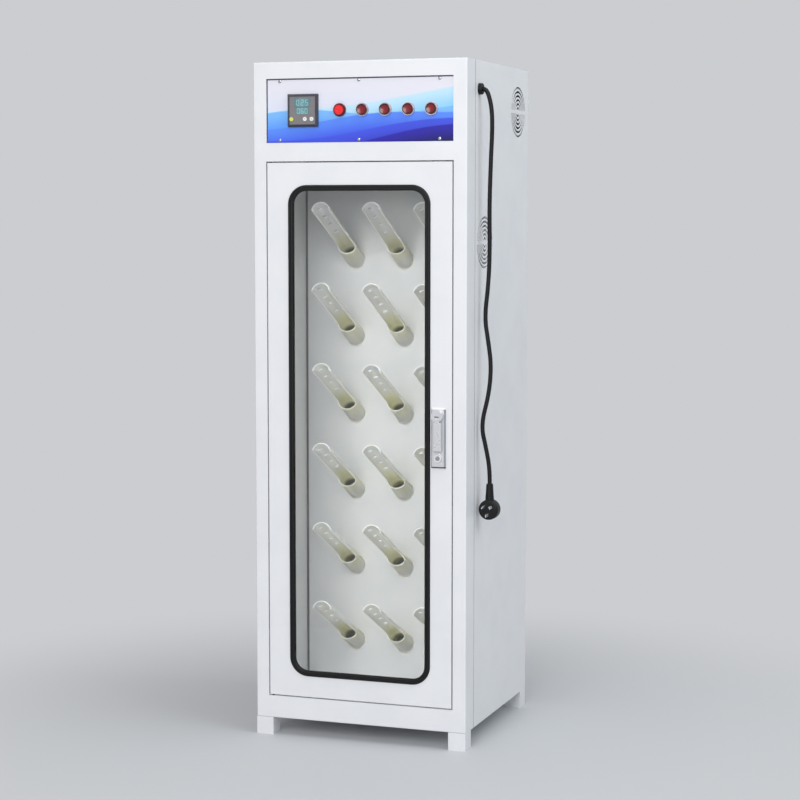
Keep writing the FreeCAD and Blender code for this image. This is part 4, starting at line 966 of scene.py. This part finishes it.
def off_axis(finish, low, high):
    """The distance from the axis of a round piece that faces the front, as a share of its radius."""
    right = finish.x - (low.x + high.x) / 2
    up = finish.z - (low.z + high.z) / 2
    return (right * right + up * up) ** 0.5 / ((high.x - low.x) / 2)


def red_cap(name, bright, deep, rim, glow):
    """Clear red plastic, bright in the middle and dark past the rim's share of its radius."""
    red = Finish(name + "_red")
    reach = off_axis(red, *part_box(name))
    facets = red.noise(0.0025, 1)
    tone = red.mix(red.fade(reach + 0.1 * (facets - 0.5), rim, rim + RIM_SOFT), bright, deep)
    red.surface({"Base Color": tone, "Roughness": 0.2 + 0.12 * facets, "Normal": red.bump(facets * 0.0002),
                 "Coat Weight": 0.3, "Coat Roughness": 0.06,
                 "Emission Color": tone, "Emission Strength": glow})
    dress(red.material, name)


red_cap("lamp_lens", paint(234, 24, 34), paint(104, 4, 16), 0.72, 0.1)
# The unlit buttons get a faint painted glow.
for number in range(1, PUSH_BUTTONS + 1):
    red_cap(f"push_button_{number}", paint(128, 0, 20), paint(44, 0, 10), 0.6, 0.03)

low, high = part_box("lamp_lens")
bezel = Finish("bezel_metal")
# Round the lamp the bezel is painted dark red and mostly not metal: a painted reflection of the lit lamp.
at_lamp = abs(bezel.x - (low.x + high.x) / 2) < LAMP_REACH
turned = bezel.noise(0.001, 3)
plating = bezel.mix(turned, paint(226, 206, 211), paint(196, 172, 180))
bezel.surface({"Base Color": bezel.mix(at_lamp, plating, paint(92, 8, 20)), "Metallic": 1 - 0.8 * at_lamp,
               "Roughness": 0.22 + 0.12 * turned, "Normal": bezel.bump(turned * 0.00003)})
dress(bezel.material, "lamp_and_button_bodies")

# %% [markdown]
# ## Metals
# Screws are bright plated steel, the lock is lacquered zinc, the hinges are blackened. A metal's colour is
# that of its reflections, so what tells them apart is mostly the roughness and the fine scratches: noise
# that is stretched along one direction looks brushed, and round noise looks cast. Lacquer scatters light of
# its own, so it is half metal.

# %% Metal finishes
def metal(name, colour, shade, roughness, grain, stretch=(1, 1, 1), share=1.0, relief=0.00003):
    """A metal with fine marks. A stretch over 1 shortens them along that axis, a share under 1 is lacquer."""
    steel = Finish(name)
    marks = steel.add("ShaderNodeMapping", sockets={"Vector": steel.place, "Scale": stretch})
    fine = steel.add("ShaderNodeTexNoise", sockets={"Vector": marks, "Scale": 1 / grain, "Detail": 3})
    cloud = steel.noise(0.02, 3)
    tone = steel.mix(cloud, colour, shade)
    shine = roughness + 0.14 * (fine - 0.5) + 0.1 * (cloud - 0.5)
    return steel.surface({"Base Color": tone, "Roughness": shine, "Metallic": share,
                          "Normal": steel.bump(fine * relief)})


bright_steel = metal("bright_steel", paint(206, 206, 210), paint(178, 178, 184), 0.24, 0.0012)
dress(metal("lock_zinc", paint(226, 226, 229), paint(212, 213, 217), 0.3, 0.005, share=0.5, relief=0.00001),
      "lock_rotor", "lock_handle")
dress(metal("black_steel", paint(62, 62, 66), paint(44, 44, 48), 0.42, 0.0014),
      "hinge_pins", "hinge_brackets")
dress(metal("plug_blade_metal", paint(240, 240, 242), paint(220, 220, 224), 0.2, 0.001, (1, 1, 5), 0.6),
      "plug_blades")

# %% [markdown]
# The plate of the lock has a bevel all round. The upper one is a painted highlight, the outer one a painted
# half shade and the lower one a painted shade. The distance from the plate's edges tells them apart.

# %% Plate of the lock
BEVEL = 0.003
BEVEL_SOFT = 0.0004
low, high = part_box("lock_plate")
plate = Finish("lock_plate_zinc")
cast = plate.noise(0.005, 3)
tone = plate.mix(cast, paint(220, 220, 224), paint(208, 209, 213))
# Painted light on the bevels: grey on the outer one and dark grey on the lower one are painted shade, near
# white on the upper one a painted highlight.
for distance, bevel_light_or_ring_noise in ((high.x - plate.x, paint(160, 161, 166)), (high.z - plate.z, paint(250, 250, 252)),
                         (plate.z - low.z, paint(74, 75, 79))):
    tone = plate.mix(plate.fade(distance, BEVEL + BEVEL_SOFT, BEVEL - BEVEL_SOFT), tone, bevel_light_or_ring_noise)
plate.surface({"Base Color": tone, "Roughness": 0.3 + 0.1 * cast, "Metallic": 0.4,
               "Normal": plate.bump(cast * 0.00002)})
dress(plate.material, "lock_plate")

# %% [markdown]
# The button of the lock has a bright, smooth ring round a darker, rougher middle. Both are one
# turned piece, so the distance from its axis decides.

# %% Button of the lock
DULL_MIDDLE_SPAN = (0.66, 0.56)
button = Finish("lock_button_zinc")
bevel_light_or_ring_noise = button.noise(0.002, 3)
reach = off_axis(button, *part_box("lock_button")) + 0.15 * (bevel_light_or_ring_noise - 0.5)
# A bright, smooth ring round a darker, rougher middle.
dull_middle = button.fade(reach, *DULL_MIDDLE_SPAN)
button.surface({"Base Color": button.mix(dull_middle, paint(246, 246, 248), paint(150, 151, 156)), "Metallic": 0.5,
                "Roughness": 0.18 + 0.3 * dull_middle, "Normal": button.bump(bevel_light_or_ring_noise * 0.00003)})
dress(button.material, "lock_button")

# %% [markdown]
# ## Pan-head screws
# Six screws hold the printed panel and ten the back. A lathe outline gives the domed head and the shank, a
# boolean cuts the cross, and the recipe for marked points sets a copy at each hole, turned to face
# outwards.

# %% One screw
# Radius and height from the head's top to the shank's end
SCREW_OUTLINE = ((0.0012, 0.00218), (0.0022, 0.002), (0.0031, 0.0016), (0.0037, 0.001), (0.004, 0.0003),
                 (0.004, 0.0), (0.002, 0.0), (0.002, -0.0074), (0.0014, -0.008))
SCREW_SIDES = 20
CROSS_LONG = 0.0021
CROSS_THIN = 0.0005
CROSS_TAPER = 0.55
CROSS_MIDDLE = 0.0019
CROSS_HALF = 0.001


def lathe(name, outline, sides):
    """A round solid from an outline of radius and height, closed by a flat face at each end."""
    form = bmesh.new()
    turns = [2 * math.pi * side / sides for side in range(sides)]
    rings = []
    for radius, height in outline:
        ring = [(radius * math.cos(turn), radius * math.sin(turn), height) for turn in turns]
        rings.append([form.verts.new(spot) for spot in ring])
    for ring, after in zip(rings, rings[1:]):
        for side in range(sides):
            other = (side + 1) % sides
            form.faces.new((ring[side], ring[other], after[other], after[side]))
    form.faces.new(rings[0])
    form.faces.new(rings[-1])
    bmesh.ops.recalc_face_normals(form, faces=form.faces)
    return link(name, form)


def cross_cutter():
    """Two tapered blades that cut the recess of a cross-head screw."""
    form = bmesh.new()
    for half_x, half_y in ((CROSS_LONG, CROSS_THIN), (CROSS_THIN, CROSS_LONG)):
        blade = bmesh.ops.create_cube(form, size=2)["verts"]
        for corner in blade:
            taper = 1 if corner.co.z > 0 else CROSS_TAPER
            corner.co = (corner.co.x * half_x * taper, corner.co.y * half_y * taper,
                         CROSS_MIDDLE + corner.co.z * CROSS_HALF)
    return link("cross_cutter", form)


screw = lathe("one_screw", SCREW_OUTLINE, SCREW_SIDES)
cutter = cross_cutter()
recess = screw.modifiers.new("recess", "BOOLEAN")
recess.operation = "DIFFERENCE"
recess.solver = "EXACT"
recess.use_self = True
recess.object = cutter
settle(screw)
bpy.data.objects.remove(cutter)
print("one screw has", len(screw.data.polygons), "faces")

# %% Screws in their holes
PANEL_SCREW_SIDE = 0.0315
PANEL_SCREW_INSET = 0.0055
REAR_ROWS = 5
REAR_INSET = 0.02
PANEL_TURN = 0.4
REAR_TURN = 0.5
low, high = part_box("control_panel")
places = [((x, low.y, z), (math.pi / 2, PANEL_TURN * number, 0))
          for number, x in enumerate((low.x + PANEL_SCREW_SIDE, 0, high.x - PANEL_SCREW_SIDE))
          for z in (low.z + PANEL_SCREW_INSET, high.z - PANEL_SCREW_INSET)]
low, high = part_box("rear_panel")
side_panel_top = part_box("right_side_panel")[1].z
rear_x = side_x - SHEET_SKIN - REAR_INSET / 2
rear_low = low.z + REAR_INSET
rear_high = side_panel_top + SHEET_SKIN - REAR_INSET
for row in range(REAR_ROWS):
    rear_z = rear_low + (rear_high - rear_low) * row / (REAR_ROWS - 1)
    places += [((side * rear_x, high.y, rear_z), (-math.pi / 2, REAR_TURN * row + side, 0))
               for side in (-1, 1)]
screws = set_on_points("pan_head_screws_set", screw, places, bright_steel)
low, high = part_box("pan_head_screws")
spots = [spot.co for spot in screws.data.vertices]
past = [round(1000 * (pick(spot[axis] for spot in spots) - limit[axis]), 2)
        for pick, limit in ((min, low), (max, high)) for axis in range(3)]
print("screws reach", past, "mm past the solid ones")
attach(screws, "cabinet")
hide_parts("pan_head_screws")

# %% [markdown]
# ## What hides inside
# The blower, the heater, the exhaust fan, the relay and the probe are seen only through the vents or with
# the door open. They still get the finish of the real thing, because a library part is looked at from
# everywhere.

# %% Machinery
fan_plastic = moulding("fan_plastic", 34, 0.5, 0.0012)
relay_plastic = moulding("relay_plastic", 58, 0.5, 0.001)
galvanised = metal("blower_steel", paint(186, 190, 192), paint(160, 165, 168), 0.4, 0.012)
heater_steel = metal("heater_steel", paint(150, 140, 132), paint(112, 100, 96), 0.38, 0.003, (5, 1, 1))
pale_plastic = moulding("pale_fan_plastic", 205, 0.5, 0.0012)
dress(fan_plastic, "blower_wheel")
dress(pale_plastic, "exhaust_fan_frame", "exhaust_fan_rotor")
dress(relay_plastic, "contactor")
dress(galvanised, "blower_housing")
dress(heater_steel, "heater")
dress(bright_steel, "temperature_probe")
